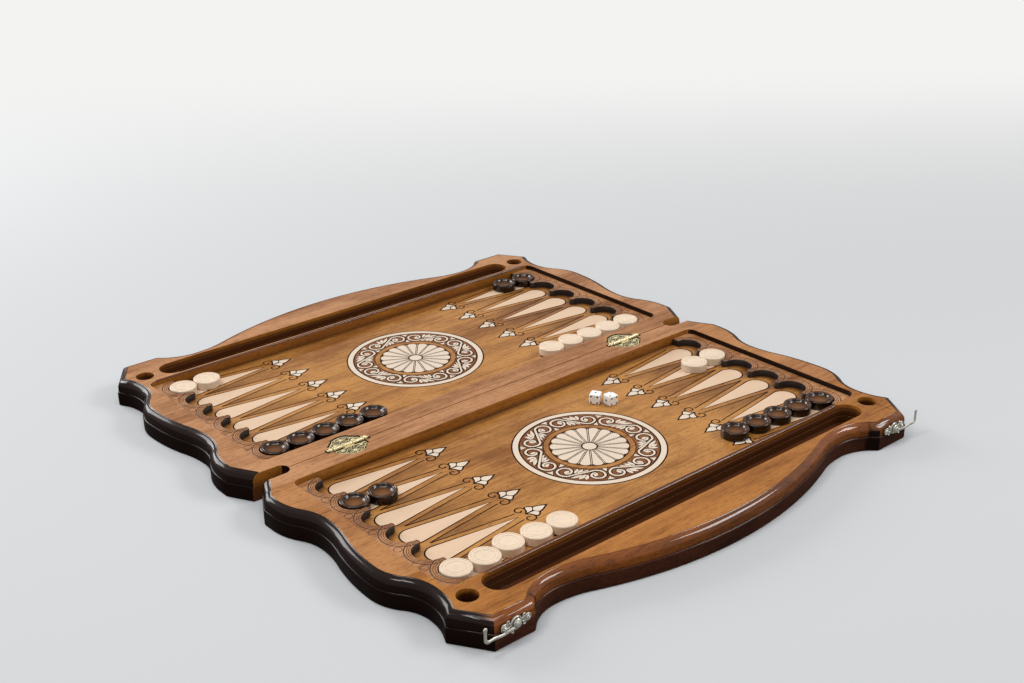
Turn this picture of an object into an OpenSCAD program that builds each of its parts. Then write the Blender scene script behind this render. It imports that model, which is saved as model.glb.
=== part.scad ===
// Folding carved backgammon board, opened flat.
// X runs along the hinge line, Y from the front leaf to the rear leaf, Z up from the underside.
// Each leaf is drawn on the rear side, and the front leaf is its mirror image.

/* [Board] */
// Overall length along the hinge line
board_l = 600; // [570:1:660]
// Thickness of a leaf's base board
base_t = 15.5; // [14:0.5:20]
// Height of the rails above the base board
rail_h = 12.5; // [12:0.5:16]
// Gap between the two leaves along the hinge line
seam_gap = 0.5; // [0.3:0.1:1]
// Gap between the two rims when the board is folded
closed_gap = 0.4; // [0.3:0.1:1]

/* [Field] */
// Width of the rail beside the hinge line
hinge_rail_w = 25.8; // [24:0.1:34]
// Width of the rail across the end, from the overall end to the field
end_rail_w = 35.6; // [33:0.1:45]
// Width of the sunk field of one leaf
field_w = 228.3; // [225:0.1:250]
// Radius of the field's corners
field_corner_r = 9; // [4:0.5:14]
// Distance from the field's outer wall back to the glue line of the outer plank
plank_lap = 34; // [20:1:60]

/* [Trough and wells] */
// Width of the ridge between field and trough
ridge_w = 4.9; // [3.5:0.1:8]
// Width of the checker trough
trough_w = 28; // [22:0.5:32]
// Distance from the overall end to the trough's end
trough_end_in = 60; // [56:1:90]
// Depth of the trough below the rim
trough_depth = 19.5; // [16:0.5:23]
// Width of the step in the trough's wall
trough_step = 1.2; // [0.6:0.1:2]
// Depth of that step below the rim
trough_step_depth = 6; // [4:0.5:9]
// Wood left outside the trough at the waist of the long side
side_wall_w = 11.5; // [9:0.5:20]
// Diameter of a corner well
well_d = 18.8; // [14:0.1:20]
// Depth of a corner well below the rim
well_depth = 16; // [14:0.5:22]
// Distance from the overall end to a well's centre
well_in = 41.7; // [40:0.1:44]

/* [Outline] */
// Inset of the slot's corner from the overall end
slot_corner_in = 14; // [8:0.5:20]
// Inset of the valley between the two lobes of an end
end_valley_in = 15.5; // [6:0.5:20]
// Inset of the outer lobe of an end
outer_lobe_in = 2.7; // [0.5:0.1:8]
// Inset of the notch beside the corner
notch_in = 21.8; // [14:0.1:25]
// Inset of the corner where the bevel starts
corner_in = 12.6; // [6:0.1:16]
// Inset of the corner where the bevel ends
bevel_in = 34.5; // [20:0.5:42]
// Length of the inner lobe's fall to the valley
inner_lobe_fall = 57; // [45:1:70]
// Length of the rise from the valley to the outer lobe
outer_lobe_rise = 89; // [70:1:95]
// Length of the outer lobe's fall to the notch
outer_lobe_fall = 56; // [45:1:65]
// Length of the rise from the notch to the corner
corner_run = 33; // [25:1:40]
// Length of the corner bevel across the board
bevel_run = 34; // [25:1:45]
// Inset of the inner end of the corner's straight edge
flat_in = 76; // [66:1:90]
// Inset of the waist of the long side
waist_in = 113; // [100:1:140]
// Reach of the corner's straight edge beyond the waist
corner_out = 16.5; // [10:0.5:20]
// Reach of the bulging handle beyond the waist
bulge_out = 35; // [22:0.5:45]

/* [Edge moulding] */
// Radius of the rim's rounded top edge
edge_r = 5; // [3:0.5:6]
// Height of the fillets at the top and foot of the base board
fillet_h = 1.5; // [1:0.1:3]
// Depth of those fillets
fillet_in = 1.2; // [0.6:0.1:3]

/* [Finger slot] */
// Half the width of the round-ended slot at each end of the hinge line
slot_r = 8.3; // [5:0.1:10]
// Distance from the overall end to the slot's round end
slot_in = 48.5; // [36:0.5:56]

/* [Ledges] */
// Height of the scalloped ledges above the field
ledge_h = 7.3; // [5:0.1:9]
// Radius of a half-moon checker seat
seat_r = 14.8; // [14.5:0.1:16]
// Distance from the field's end wall to the seats' centres
seat_in = 27.9; // [24:0.1:32]
// Distance from the field's side walls to its outermost points
row_in = 23.15; // [20:0.05:26]
// Gap between a ledge and the walls beside it
ledge_fit = 0.1; // [0.05:0.05:0.3]

/* [Inlays] */
// Thickness of the light inlays
inlay_t = 1.2; // [0.8:0.1:2]
// Gap between an inlay and its pocket
inlay_fit = 0.1; // [0.05:0.05:0.2]
// Radius of a point's round end
point_r = 12; // [8:0.5:13]
// Length of a point from its round end to its tip
point_l = 97; // [80:1:105]
// Distance from the field's end wall to a point's round end
point_in = 26.9; // [22:0.1:32]
// Gap between a point's tip and its finial
finial_gap = 12.3; // [10:0.1:16]
// Length of a finial
finial_l = 22.3; // [16:0.1:24]
// Width of a finial
finial_w = 17.6; // [12:0.1:20]
// Width of a finial's foot
finial_foot_w = 2; // [1:0.5:6]
// Distance from a finial's foot to its widest place
finial_shoulder = 5.3; // [4:0.1:9]
// Outer radius of the rosette
rosette_r = 76; // [60:1:80]
// Width of the rosette's scrolled band
rosette_band_w = 32; // [20:1:36]
// Width of the plain ring between that band and the fan in the middle
fan_gap = 5; // [3:0.5:12]

/* [Checkers and dice] */
// Diameter of a checker
checker_d = 28.4; // [26:0.1:28.8]
// Height of a checker
checker_h = 9; // [7:0.5:11]
// Gap between neighbouring checkers of a stack
checker_gap = 0.5; // [0.3:0.1:1]
// Radius of the dish turned in a checker's top
dish_r = 10; // [7:0.5:11.5]
// Depth of that dish
dish_depth = 0.9; // [0.4:0.1:1.5]
// Rounding of a checker's edges
checker_edge = 1.2; // [0.5:0.1:1.5]
// Edge length of a die
die_w = 11.5; // [9:0.5:12]
// Radius of the ball that rounds a die's corners
die_ball_r = 8.2; // [8:0.1:9.5]

/* [Hinges] */
// Distance from the overall end to a hinge's middle
hinge_in = 115; // [90:1:160]
// Length of a hinge's barrel
hinge_l = 34.7; // [28:0.1:40]
// Width of one hinge leaf from the pin's axis
hinge_leaf_w = 18.6; // [16:0.1:20]
// Length of a hinge leaf's outer edge
hinge_edge_l = 10.4; // [6:0.1:14]
// Distance between the shoulders of a hinge leaf
hinge_shoulder_l = 21.6; // [18:0.1:26]
// Reach of those shoulders from the pin's axis
hinge_shoulder_w = 15.2; // [13:0.1:16]
// Reach of a hinge leaf's straight ends from the pin's axis
hinge_end_w = 9.4; // [7:0.1:11]
// Thickness of a hinge leaf
hinge_t = 1.4; // [1:0.1:1.8]
// Depth of the mortise that a hinge leaf lies in
mortise_depth = 2.2; // [2:0.1:3]
// Gap round a hinge leaf in its mortise
mortise_fit = 0.8; // [0.4:0.1:1.2]
// Outer radius of the barrel
barrel_r = 2.3; // [2:0.1:2.6]
// Gap round the barrel in the wood
barrel_fit = 0.6; // [0.4:0.1:1]
// Gap between neighbouring knuckles
knuckle_gap = 0.3; // [0.2:0.1:0.5]
// Radius of the hinge pin
pin_r = 1.2; // [0.9:0.1:1.5]
// Radial running clearance of the hinge pin and of the hook on its rivet
running_fit = 0.05; // [0.02:0.01:0.1]
// Radius of the balls on the pin's ends
pin_ball_r = 2.3; // [1.8:0.1:2.6]
// Radius of a hinge screw's head
screw_head_r = 1.9; // [1.5:0.1:2.2]
// Height of a hinge screw's head
screw_head_h = 0.8; // [0.6:0.1:1]
// Radius of a screw's shank
screw_r = 0.9; // [0.7:0.1:1.1]
// Length of a screw's shank
screw_l = 8; // [5:0.5:9]
// Distance between the two inner screws of a hinge leaf
screw_pair_l = 20.8; // [16:0.1:26]
// Distance from the pin's axis to those two screws
screw_pair_w = 6.7; // [6:0.1:8]
// Distance from the pin's axis to the outer screw
outer_screw_w = 13; // [11:0.1:14]

/* [Latches] */
// Depth of a hook's pivot below the rim
latch_drop = 9.5; // [8:0.5:10.5]
// Depth of the catch peg below the rim
catch_drop = 19; // [17:0.5:22]
// Thickness of a latch plate
latch_plate_t = 1.5; // [1:0.1:2]
// Radius of the plate round the pivot
latch_plate_r = 6; // [5:0.1:6.5]
// Radius of the plate's ends round the screws
latch_lug_r = 3.6; // [3:0.1:4]
// Distance from the pivot to each plate screw
latch_screw_x = 12; // [10:0.5:14]
// Thickness of a hook
hook_t = 1.8; // [1.4:0.1:2.4]
// Width of a hook's arm
hook_w = 2.4; // [2:0.1:3]
// Radius of a hook's eye
hook_eye_r = 4.2; // [3.5:0.1:5]
// Height of a hook's upturned tip
hook_tip_h = 5; // [3:0.5:6]
// Radius of the knob on a hook's tip
hook_ball_r = 1.7; // [1.3:0.1:2.2]
// Gap between stacked latch pieces along the pivot
latch_gap = 0.3; // [0.2:0.1:0.5]
// Gap between an engaged hook and the catch peg
hook_fit = 0.5; // [0.3:0.1:0.8]
// Radius of the latch rivet
rivet_r = 1.5; // [1.2:0.1:1.8]
// Radius of the latch rivet's head
rivet_head_r = 3; // [2.4:0.1:3.6]
// Thickness of the heads of rivet and catch peg
head_t = 1; // [0.8:0.1:1.5]
// Radius of the catch peg
peg_r = 1.8; // [1.4:0.1:2.2]
// Radius of the catch peg's head
peg_head_r = 2.8; // [2.4:0.1:3.4]
// Radius of the catch's round foot
catch_foot_r = 5; // [4:0.1:5.5]
// Thickness of the catch's round foot
catch_foot_t = 1.2; // [0.8:0.1:1.5]
// Gap round every screw, rivet and peg in the wood
pilot_fit = 0.05; // [0.02:0.01:0.1]

/* [Hidden] */
$fn = 96;

rail_wood = "#9a6a3c";
field_wood = "#a8743f";
end_wood = "#5a3820";
pale_wood = "#f0d2b0";
dark_wood = "#3a2216";
light_wood = "#ead3ae";
brass = "#c9b37a";
silver = "#b9b7a6";
bone = "#f4f4f0";

// Heights
rim_z = base_t + rail_h;
axis_z = rim_z + closed_gap / 2;
trough_z = rim_z - trough_depth;
latch_z = rim_z - latch_drop;
catch_z = rim_z - catch_drop;

// Places along the board, from the middle outwards
half_l = board_l / 2;
field_x = half_l - end_rail_w;
seat_x = field_x - seat_in;
point_x = field_x - point_in;
point_tip_x = point_x - point_l;
finial_x = point_tip_x - finial_gap;
trough_x = half_l - trough_end_in;
well_x = half_l - well_in;
hinge_x = half_l - hinge_in;
latch_x = half_l - (bevel_in + flat_in) / 2;
slot_x = half_l - slot_in + slot_r;

// Places across a leaf, from the hinge line outwards
field_s0 = hinge_rail_w;
field_s1 = field_s0 + field_w;
field_s = (field_s0 + field_s1) / 2;
plank_s = field_s1 - plank_lap;
trough_s0 = field_s1 + ridge_w;
trough_s1 = trough_s0 + trough_w;
trough_s = (trough_s0 + trough_s1) / 2;
waist_s = trough_s1 + side_wall_w;
flat_s = waist_s + corner_out;
bulge_s = waist_s + bulge_out;
corner_s = flat_s - bevel_run;
notch_s = corner_s - corner_run;
outer_lobe_s = notch_s - outer_lobe_fall;
end_valley_s = outer_lobe_s - outer_lobe_rise;
inner_lobe_s = end_valley_s - inner_lobe_fall;

fan_r = rosette_r - rosette_band_w - fan_gap;

rows = 6;
row_pitch = (field_w - 2 * row_in) / (rows - 1);
row_s = [for (i = [0 : rows - 1]) field_s0 + row_in + i * row_pitch];

// Share of each double curve that belongs to its first arc
inner_lobe_share = 0.57;
end_valley_share = 0.34;
outer_lobe_share = 0.56;
waist_share = 0.19;
arc_steps = 6;
edge_steps = 3;
// Spare length by which a cutting tool runs past the wood
past = 1;

// Latch layers, from the leaf's outer face outwards
hook_s = flat_s + latch_plate_t + latch_gap;
rivet_head_s = hook_s + hook_t + latch_gap;
peg_head_s = rivet_head_s + latch_gap;
hook_l = 2 * axis_z - latch_z - catch_z;
hook_in_r = peg_r + hook_fit;
hook_out_r = hook_in_r + hook_w;

// Hinge leaf heights
leaf_z = rim_z - mortise_depth;
groove_r = barrel_r + barrel_fit;
pin_end = hinge_l / 2 + knuckle_gap;
pin_tip_r = pin_ball_r / 2;
groove_l = 2 * (pin_end + 4 * pin_ball_r);
hinge_screws = [[-screw_pair_l / 2, screw_pair_w], [screw_pair_l / 2, screw_pair_w], [0, outer_screw_w]];

// Arc that leaves a along the run and ends at b; points are [run, reach]
function bend(a, b) =
    let (run = b[0] - a[0], rise = b[1] - a[1])
    abs(rise) < 0.001 ? [a, b] :
    let (r = (run * run + rise * rise) / (2 * rise), turn = atan2(run / r, 1 - rise / r))
    [for (i = [0 : arc_steps]) let (t = turn * i / arc_steps) a + r * [sin(t), 1 - cos(t)]];

function reversed(points) = [for (i = [len(points) - 1 : -1 : 0]) points[i]];

// Double curve of two arcs, along the run at both ends
function sway(a, b, share) = let (m = a + share * (b - a)) concat(bend(a, m), reversed(bend(b, m)));

// The same points without repeated neighbours
function thinned(points) =
    let (n = len(points))
    [for (i = [0 : n - 1]) if (norm(points[i] - points[(i + 1) % n]) > 0.01) points[i]];

function inward(a, b) = let (d = (b - a) / norm(b - a)) [-d[1], d[0]];

// Closed outline moved inwards by one distance all round
function inset(points, by) =
    let (n = len(points))
    [for (i = [0 : n - 1])
        let (u = inward(points[(i + n - 1) % n], points[i]), v = inward(points[i], points[(i + 1) % n]))
        points[i] + by * (u + v) / (1 + u * v)];

function arc(centre, r, from, to, steps) =
    [for (i = [0 : steps]) let (t = from + (to - from) * i / steps) centre + r * [cos(t), sin(t)]];

function rounded_box(half_x, half_y, r) =
    thinned([for (q = [0 : 3]) each arc(
        [(q == 0 || q == 3 ? 1 : -1) * (half_x - r), (q < 2 ? 1 : -1) * (half_y - r)],
        r, 90 * q, 90 * q + 90, arc_steps)]);

// Outline of a leaf's right half; the hinge side runs on past the hinge line
end_curve = concat(
    reversed(bend([inner_lobe_s, half_l], [slot_r, half_l - slot_corner_in])),
    sway([inner_lobe_s, half_l], [end_valley_s, half_l - end_valley_in], inner_lobe_share),
    sway([end_valley_s, half_l - end_valley_in], [outer_lobe_s, half_l - outer_lobe_in], end_valley_share),
    sway([outer_lobe_s, half_l - outer_lobe_in], [notch_s, half_l - notch_in], outer_lobe_share),
    bend([notch_s, half_l - notch_in], [corner_s, half_l - corner_in])
);
side_curve = concat(
    [[half_l - bevel_in, flat_s]],
    reversed(bend([half_l - waist_in, waist_s], [half_l - flat_in, flat_s])),
    sway([half_l - waist_in, waist_s], [0, bulge_s], waist_share)
);
right_outline = concat(
    [[half_l - slot_corner_in, -2 * slot_r]],
    [for (p = end_curve) [p[1], p[0]]],
    side_curve
);
outline = thinned(concat(right_outline, reversed([for (p = right_outline) [-p[0], p[1]]])));

// Shared shapes

// Children on the rear leaf, or mirrored on the front leaf
module on_leaf(front) {
    if (front) mirror([0, 1, 0]) children();
    else children();
}

// Children on the right half, or mirrored on the left half
module on_half(left) {
    if (left) mirror([1, 0, 0]) children();
    else children();
}

module on_both_halves() {
    on_half(false) children();
    on_half(true) children();
}

// Slab of the leaf's outline, moved inwards
module slab(low, high, by) {
    translate([0, 0, low]) linear_extrude(high - low) polygon(inset(outline, by));
}

// Box between two corners
module block(low, high) {
    translate(low) cube(high - low);
}

// Round piece along +Y from a place, with [radius, from, to] lengths
module turned_y(x, z, stages) {
    for (stage = stages)
        translate([x, stage[1], z]) rotate([-90, 0, 0]) cylinder(r = stage[0], h = stage[2] - stage[1]);
}

module finger_slots() {
    on_both_halves() {
        translate([slot_x, 0, -past]) cylinder(r = slot_r, h = rim_z + 2 * past);
        block([slot_x, -slot_r, -past], [half_l + past, slot_r, rim_z + past]);
    }
}

module field_opening() {
    translate([0, field_s, base_t - past]) linear_extrude(rail_h + 2 * past)
        polygon(rounded_box(field_x, field_w / 2, field_corner_r));
}

module trough_cut(by, low) {
    r = trough_w / 2 - by;
    translate([0, trough_s, low]) linear_extrude(rim_z - low + past)
        polygon(rounded_box(trough_x - by, r, r));
}

module troughs_and_wells() {
    trough_cut(0, rim_z - trough_step_depth);
    trough_cut(trough_step, trough_z);
    on_both_halves()
        translate([well_x, trough_s, rim_z - well_depth]) cylinder(d = well_d, h = well_depth + past);
}

// Rails before they are cut apart, with the rounded top edge
module rail_blank() {
    slab(base_t, rim_z - edge_r, 0);
    for (i = [0 : edge_steps - 1])
        slab(base_t, rim_z - edge_r * (1 - sin(90 * (i + 1) / edge_steps)),
            edge_r * (1 - cos(90 * (i + 0.5) / edge_steps)));
}

// One rail between two corners, clear of field and finger slots
module rail(low, high) {
    difference() {
        intersection() {
            rail_blank();
            block([low[0], low[1], base_t - past], [high[0], high[1], rim_z + past]);
        }
        field_opening();
        finger_slots();
    }
}

// Leaf pieces

module base_board(front) color(field_wood) on_leaf(front) {
    difference() {
        intersection() {
            union() {
                slab(fillet_h, base_t - fillet_h, 0);
                slab(0, base_t, fillet_in);
            }
            block([-half_l - past, seam_gap / 2, -past], [half_l + past, bulge_s + past, base_t + past]);
        }
        finger_slots();
        troughs_and_wells();
        on_both_halves() {
            point_row(inlay_fit, past);
            finial_row(inlay_fit, past);
        }
        rosette_band(inlay_fit, past);
        rosette_disc(inlay_fit, past);
        if (!front) on_both_halves() catch_shape(pilot_fit);
    }
}

module hinge_rail(front) color(rail_wood) on_leaf(front) {
    difference() {
        rail([-half_l - past, seam_gap / 2], [half_l + past, field_s0]);
        on_both_halves() {
            block([hinge_x - hinge_l / 2 - mortise_fit, -past, leaf_z],
                [hinge_x + hinge_l / 2 + mortise_fit, hinge_leaf_w + mortise_fit, rim_z + past]);
            translate([hinge_x - groove_l / 2, 0, axis_z])
                rotate([0, 90, 0]) cylinder(r = groove_r, h = groove_l);
            screw_shanks(pilot_fit);
        }
    }
}

module outer_rail(front) color(rail_wood) on_leaf(front) {
    difference() {
        rail([-half_l - past, plank_s], [half_l + past, bulge_s + past]);
        troughs_and_wells();
        if (front) on_both_halves() {
            rivet_shape(pilot_fit);
            latch_screw_pair(pilot_fit);
        }
    }
}

module end_rail(front, left) color(end_wood) on_leaf(front) on_half(left) {
    rail([field_x - field_corner_r, field_s0], [half_l + past, plank_s]);
}

// Ledge with half-moon seats, rounded noses between them
module ledge(front, left) color(rail_wood) on_leaf(front) on_half(left) {
    nose_r = row_pitch / 2 - seat_r + ledge_fit;
    translate([0, 0, base_t]) difference() {
        linear_extrude(ledge_h) intersection() {
            translate([0, field_s])
                polygon(rounded_box(field_x - ledge_fit, field_w / 2 - ledge_fit, field_corner_r));
            union() {
                translate([seat_x, field_s0]) square([seat_in, field_w]);
                for (i = [0 : rows - 2])
                    translate([seat_x, (row_s[i] + row_s[i + 1]) / 2]) circle(r = nose_r);
            }
        }
        for (s = row_s)
            translate([seat_x, s, -past]) cylinder(r = seat_r, h = ledge_h + 2 * past);
    }
}

// Six teardrop points of one half; grow widens them and lift raises their top for a pocket
module point_row(grow, lift) {
    c = point_r - point_x;
    reach = point_l - point_r;
    r = point_r + grow;
    open = acos(point_r / reach);
    for (s = row_s)
        translate([0, s, base_t - inlay_t]) linear_extrude(inlay_t + lift)
            polygon(concat(arc([-c, 0], r, -180 + open, 180 - open, 4 * arc_steps),
                [[point_tip_x - grow / cos(open), 0]]));
}

// Six arrowhead finials of one half
module finial_row(grow, lift) {
    w = finial_w / 2;
    foot = finial_foot_w / 2;
    arrow = [[finial_x, -foot], [finial_x, foot], [finial_x - finial_shoulder, w],
        [finial_x - finial_l, 0], [finial_x - finial_shoulder, -w]];
    for (s = row_s)
        translate([0, s, base_t - inlay_t]) linear_extrude(inlay_t + lift) polygon(inset(arrow, -grow));
}

module rosette_band(grow, lift) {
    translate([0, field_s, base_t - inlay_t]) difference() {
        cylinder(r = rosette_r + grow, h = inlay_t + lift);
        translate([0, 0, -past])
            cylinder(r = rosette_r - rosette_band_w - grow, h = inlay_t + lift + 2 * past);
    }
}

module rosette_disc(grow, lift) {
    translate([0, field_s, base_t - inlay_t]) cylinder(r = fan_r + grow, h = inlay_t + lift);
}

module points(front, left) color(pale_wood) on_leaf(front) on_half(left) point_row(0, 0);
module finials(front, left) color(pale_wood) on_leaf(front) on_half(left) finial_row(0, 0);
module rosette_ring(front) color(pale_wood) on_leaf(front) rosette_band(0, 0);
module rosette_fan(front) color(pale_wood) on_leaf(front) rosette_disc(0, 0);

// Hinges

// Plate of a hinge leaf with its knuckles between pairs of places along the barrel
module hinge_leaf(front, left, knuckles)
    color(brass) on_half(left) translate([hinge_x, 0, 0]) on_leaf(front) {
    w = hinge_l / 2;
    right_side = [[w, groove_r], [w, hinge_end_w], [hinge_shoulder_l / 2, hinge_shoulder_w],
        [hinge_edge_l / 2, hinge_leaf_w]];
    taper = concat(right_side, reversed([for (p = right_side) [-p[0], p[1]]]));
    difference() {
        union() {
            translate([0, 0, leaf_z]) linear_extrude(hinge_t) polygon(taper);
            for (k = knuckles) {
                block([k[0], 0, leaf_z], [k[1], groove_r + past, leaf_z + hinge_t]);
                translate([k[0], 0, axis_z]) rotate([0, 90, 0]) cylinder(r = barrel_r, h = k[1] - k[0]);
            }
        }
        translate([-w - past, 0, axis_z]) rotate([0, 90, 0])
            cylinder(r = pin_r + running_fit, h = hinge_l + 2 * past);
        for (p = hinge_screws) translate([p[0], p[1], leaf_z]) {
            translate([0, 0, -past]) cylinder(r = screw_r + pilot_fit, h = hinge_t + 2 * past);
            translate([0, 0, hinge_t - screw_head_h / 2])
                cylinder(r = screw_head_r + pilot_fit, h = hinge_t);
        }
    }
}

module hinge_rear_leaf(left) {
    k = hinge_l / 6 + knuckle_gap / 2;
    hinge_leaf(false, left, [[-hinge_l / 2, -k], [k, hinge_l / 2]]);
}

module hinge_front_leaf(left) {
    k = hinge_l / 6 - knuckle_gap / 2;
    hinge_leaf(true, left, [[-k, k]]);
}

module hinge_pin(left) color(brass) on_half(left) translate([hinge_x, 0, axis_z]) {
    rotate([0, 90, 0]) cylinder(r = pin_r, h = 2 * (pin_end + pin_ball_r), center = true);
    on_both_halves() {
        translate([pin_end + pin_ball_r, 0, 0]) sphere(r = pin_ball_r);
        translate([pin_end + 2 * pin_ball_r + pin_tip_r / 2, 0, 0]) sphere(r = pin_tip_r);
    }
}

// Shanks of the three screws of one hinge leaf; grow widens them for the pilot holes
module screw_shanks(grow) {
    for (p = hinge_screws) translate([hinge_x + p[0], p[1], leaf_z - screw_l])
        cylinder(r = screw_r + grow, h = screw_l + hinge_t);
}

module hinge_screw_set(front) color(brass) on_leaf(front) on_both_halves() {
    screw_shanks(0);
    for (p = hinge_screws) translate([hinge_x + p[0], p[1], leaf_z + hinge_t - screw_head_h / 2])
        cylinder(r = screw_head_r, h = screw_head_h);
}

// Latches

module latch_plate(left) color(silver) on_leaf(true) on_half(left) {
    difference() {
        union() {
            turned_y(latch_x, latch_z, [[latch_plate_r, flat_s, flat_s + latch_plate_t]]);
            for (side = [-1, 1])
                turned_y(latch_x + side * latch_screw_x, latch_z,
                    [[latch_lug_r, flat_s, flat_s + latch_plate_t]]);
            block([latch_x - latch_screw_x, flat_s, latch_z - latch_lug_r / 2],
                [latch_x + latch_screw_x, flat_s + latch_plate_t, latch_z + latch_lug_r / 2]);
        }
        rivet_shape(running_fit);
        latch_screw_pair(pilot_fit);
    }
}

// Rivet of the right latch; grow widens it for its hole
module rivet_shape(grow) {
    turned_y(latch_x, latch_z, [[rivet_r + grow, flat_s - screw_l, rivet_head_s + head_t / 2]]);
}

module latch_rivet(left) color(silver) on_leaf(true) on_half(left) {
    rivet_shape(0);
    turned_y(latch_x, latch_z, [[rivet_head_r, rivet_head_s, rivet_head_s + head_t]]);
}

// Hook that lies outwards along the edge, with its tip turned up
module latch_hook(left) color(silver) on_leaf(true) on_half(left) {
    arm = concat(
        [[0, -hook_in_r]],
        arc([hook_l, 0], hook_in_r, -90, 0, arc_steps),
        [[hook_l + hook_in_r, hook_tip_h], [hook_l + hook_out_r, hook_tip_h]],
        arc([hook_l, 0], hook_out_r, 0, -90, arc_steps),
        [[0, -hook_out_r]]
    );
    translate([latch_x, hook_s + hook_t, latch_z]) rotate([90, 0, 0]) difference() {
        union() {
            linear_extrude(hook_t) polygon(arm);
            cylinder(r = hook_eye_r, h = hook_t);
            translate([hook_l + (hook_in_r + hook_out_r) / 2, hook_tip_h, 0])
                cylinder(r = hook_ball_r, h = hook_t);
        }
        translate([0, 0, -past]) cylinder(r = rivet_r + running_fit, h = hook_t + 2 * past);
    }
}

// The two screws of one latch plate, heads flush with the plate
module latch_screw_pair(grow) {
    for (side = [-1, 1])
        turned_y(latch_x + side * latch_screw_x, latch_z, [
            [screw_r + grow, flat_s - screw_l, flat_s + latch_plate_t / 2],
            [screw_head_r + grow, flat_s + latch_plate_t - screw_head_h, flat_s + latch_plate_t + grow]
        ]);
}

module latch_screw_set() color(silver) on_leaf(true) on_both_halves() latch_screw_pair(0);

// Turned catch peg on the rear leaf; grow widens its shank for the pilot hole
module catch_shape(grow) {
    turned_y(latch_x, catch_z, [[screw_r + grow, flat_s - screw_l, flat_s + catch_foot_t / 2]]);
}

module catch_peg(left) color(silver) on_half(left) {
    catch_shape(0);
    turned_y(latch_x, catch_z, [
        [catch_foot_r, flat_s, flat_s + catch_foot_t],
        [peg_r, flat_s + catch_foot_t / 2, peg_head_s + head_t / 2],
        [peg_head_r, peg_head_s, peg_head_s + head_t]
    ]);
}

// Checkers and dice

// Turned disc with rounded edges and a dished top
module checker() {
    r = checker_d / 2;
    dish = (dish_r * dish_r + dish_depth * dish_depth) / (2 * dish_depth);
    difference() {
        rotate_extrude() polygon(concat(
            [[0, 0]],
            arc([r - checker_edge, checker_edge], checker_edge, -90, 0, arc_steps),
            arc([r - checker_edge, checker_h - checker_edge], checker_edge, 0, 90, arc_steps),
            [[0, checker_h]]
        ));
        translate([0, 0, checker_h + dish - dish_depth]) sphere(r = dish);
    }
}

// Stack of checkers along one row, from its seat inwards; drifts shift each one across the row
module stack(front, left, row, drifts) on_leaf(front) on_half(left) {
    for (i = [0 : len(drifts) - 1])
        translate([seat_x - i * (checker_d + checker_gap), row_s[row] + drifts[i], base_t]) checker();
}

module dark_stack(front, left, row, drifts) color(dark_wood) stack(front, left, row, drifts);
module light_stack(front, left, row, drifts) color(light_wood) stack(front, left, row, drifts);

// Ways in which the played stacks stand, in millimetres across their rows
straight_pair = [0, 0];
straight_five = [0, 0, 0, 0, 0];
loose_pair = [0, 2];
loose_five = [0, 2, -2, 1, 2];
leaning_five = [0, -5, -7, -9, -12];

module die(x, s, yaw) color(bone) translate([x, -s, base_t + die_w / 2]) rotate([0, 0, yaw]) {
    intersection() {
        cube(die_w, center = true);
        sphere(r = die_ball_r);
    }
}

// Where the thrown dice lie on the front leaf
left_die_place = [70.5, 74.6, 31];
right_die_place = [79.5, 87.4, -3];

base_board(false);  // rear_base_board
hinge_rail(false);  // rear_hinge_rail
outer_rail(false);  // rear_outer_rail
end_rail(false, true);  // rear_left_end_rail
end_rail(false, false);  // rear_right_end_rail
ledge(false, true);  // rear_left_ledge
ledge(false, false);  // rear_right_ledge
points(false, true);  // rear_left_points
points(false, false);  // rear_right_points
finials(false, true);  // rear_left_finials
finials(false, false);  // rear_right_finials
rosette_ring(false);  // rear_rosette_ring
rosette_fan(false);  // rear_rosette_fan
base_board(true);  // front_base_board
hinge_rail(true);  // front_hinge_rail
outer_rail(true);  // front_outer_rail
end_rail(true, true);  // front_left_end_rail
end_rail(true, false);  // front_right_end_rail
ledge(true, true);  // front_left_ledge
ledge(true, false);  // front_right_ledge
points(true, true);  // front_left_points
points(true, false);  // front_right_points
finials(true, true);  // front_left_finials
finials(true, false);  // front_right_finials
rosette_ring(true);  // front_rosette_ring
rosette_fan(true);  // front_rosette_fan
hinge_rear_leaf(true);  // left_hinge_rear_leaf
hinge_front_leaf(true);  // left_hinge_front_leaf
hinge_pin(true);  // left_hinge_pin
hinge_rear_leaf(false);  // right_hinge_rear_leaf
hinge_front_leaf(false);  // right_hinge_front_leaf
hinge_pin(false);  // right_hinge_pin
hinge_screw_set(false);  // rear_hinge_screws
hinge_screw_set(true);  // front_hinge_screws
latch_plate(true);  // left_latch_plate
latch_hook(true);  // left_latch_hook
latch_rivet(true);  // left_latch_rivet
latch_plate(false);  // right_latch_plate
latch_hook(false);  // right_latch_hook
latch_rivet(false);  // right_latch_rivet
latch_screw_set();  // latch_screws
catch_peg(true);  // left_catch_peg
catch_peg(false);  // right_catch_peg
dark_stack(false, true, 0, straight_five);  // rear_left_dark_checkers
light_stack(false, true, 5, loose_pair);  // rear_left_light_checkers
light_stack(false, false, 0, straight_five);  // rear_right_light_checkers
dark_stack(false, false, 5, loose_pair);  // rear_right_dark_checkers
dark_stack(true, true, 1, loose_pair);  // front_left_dark_checkers
light_stack(true, true, 5, loose_five);  // front_left_light_checkers
light_stack(true, false, 1, straight_pair);  // front_right_light_checkers
dark_stack(true, false, 5, leaning_five);  // front_right_dark_checkers
die(left_die_place[0], left_die_place[1], left_die_place[2]);  // left_die
die(right_die_place[0], right_die_place[1], right_die_place[2]);  // right_die
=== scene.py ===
"""Folding backgammon board lying open, modelled piece by piece on the shared frame."""
import math
from types import SimpleNamespace

import bpy
from mathutils import Euler, Matrix, Vector


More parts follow.
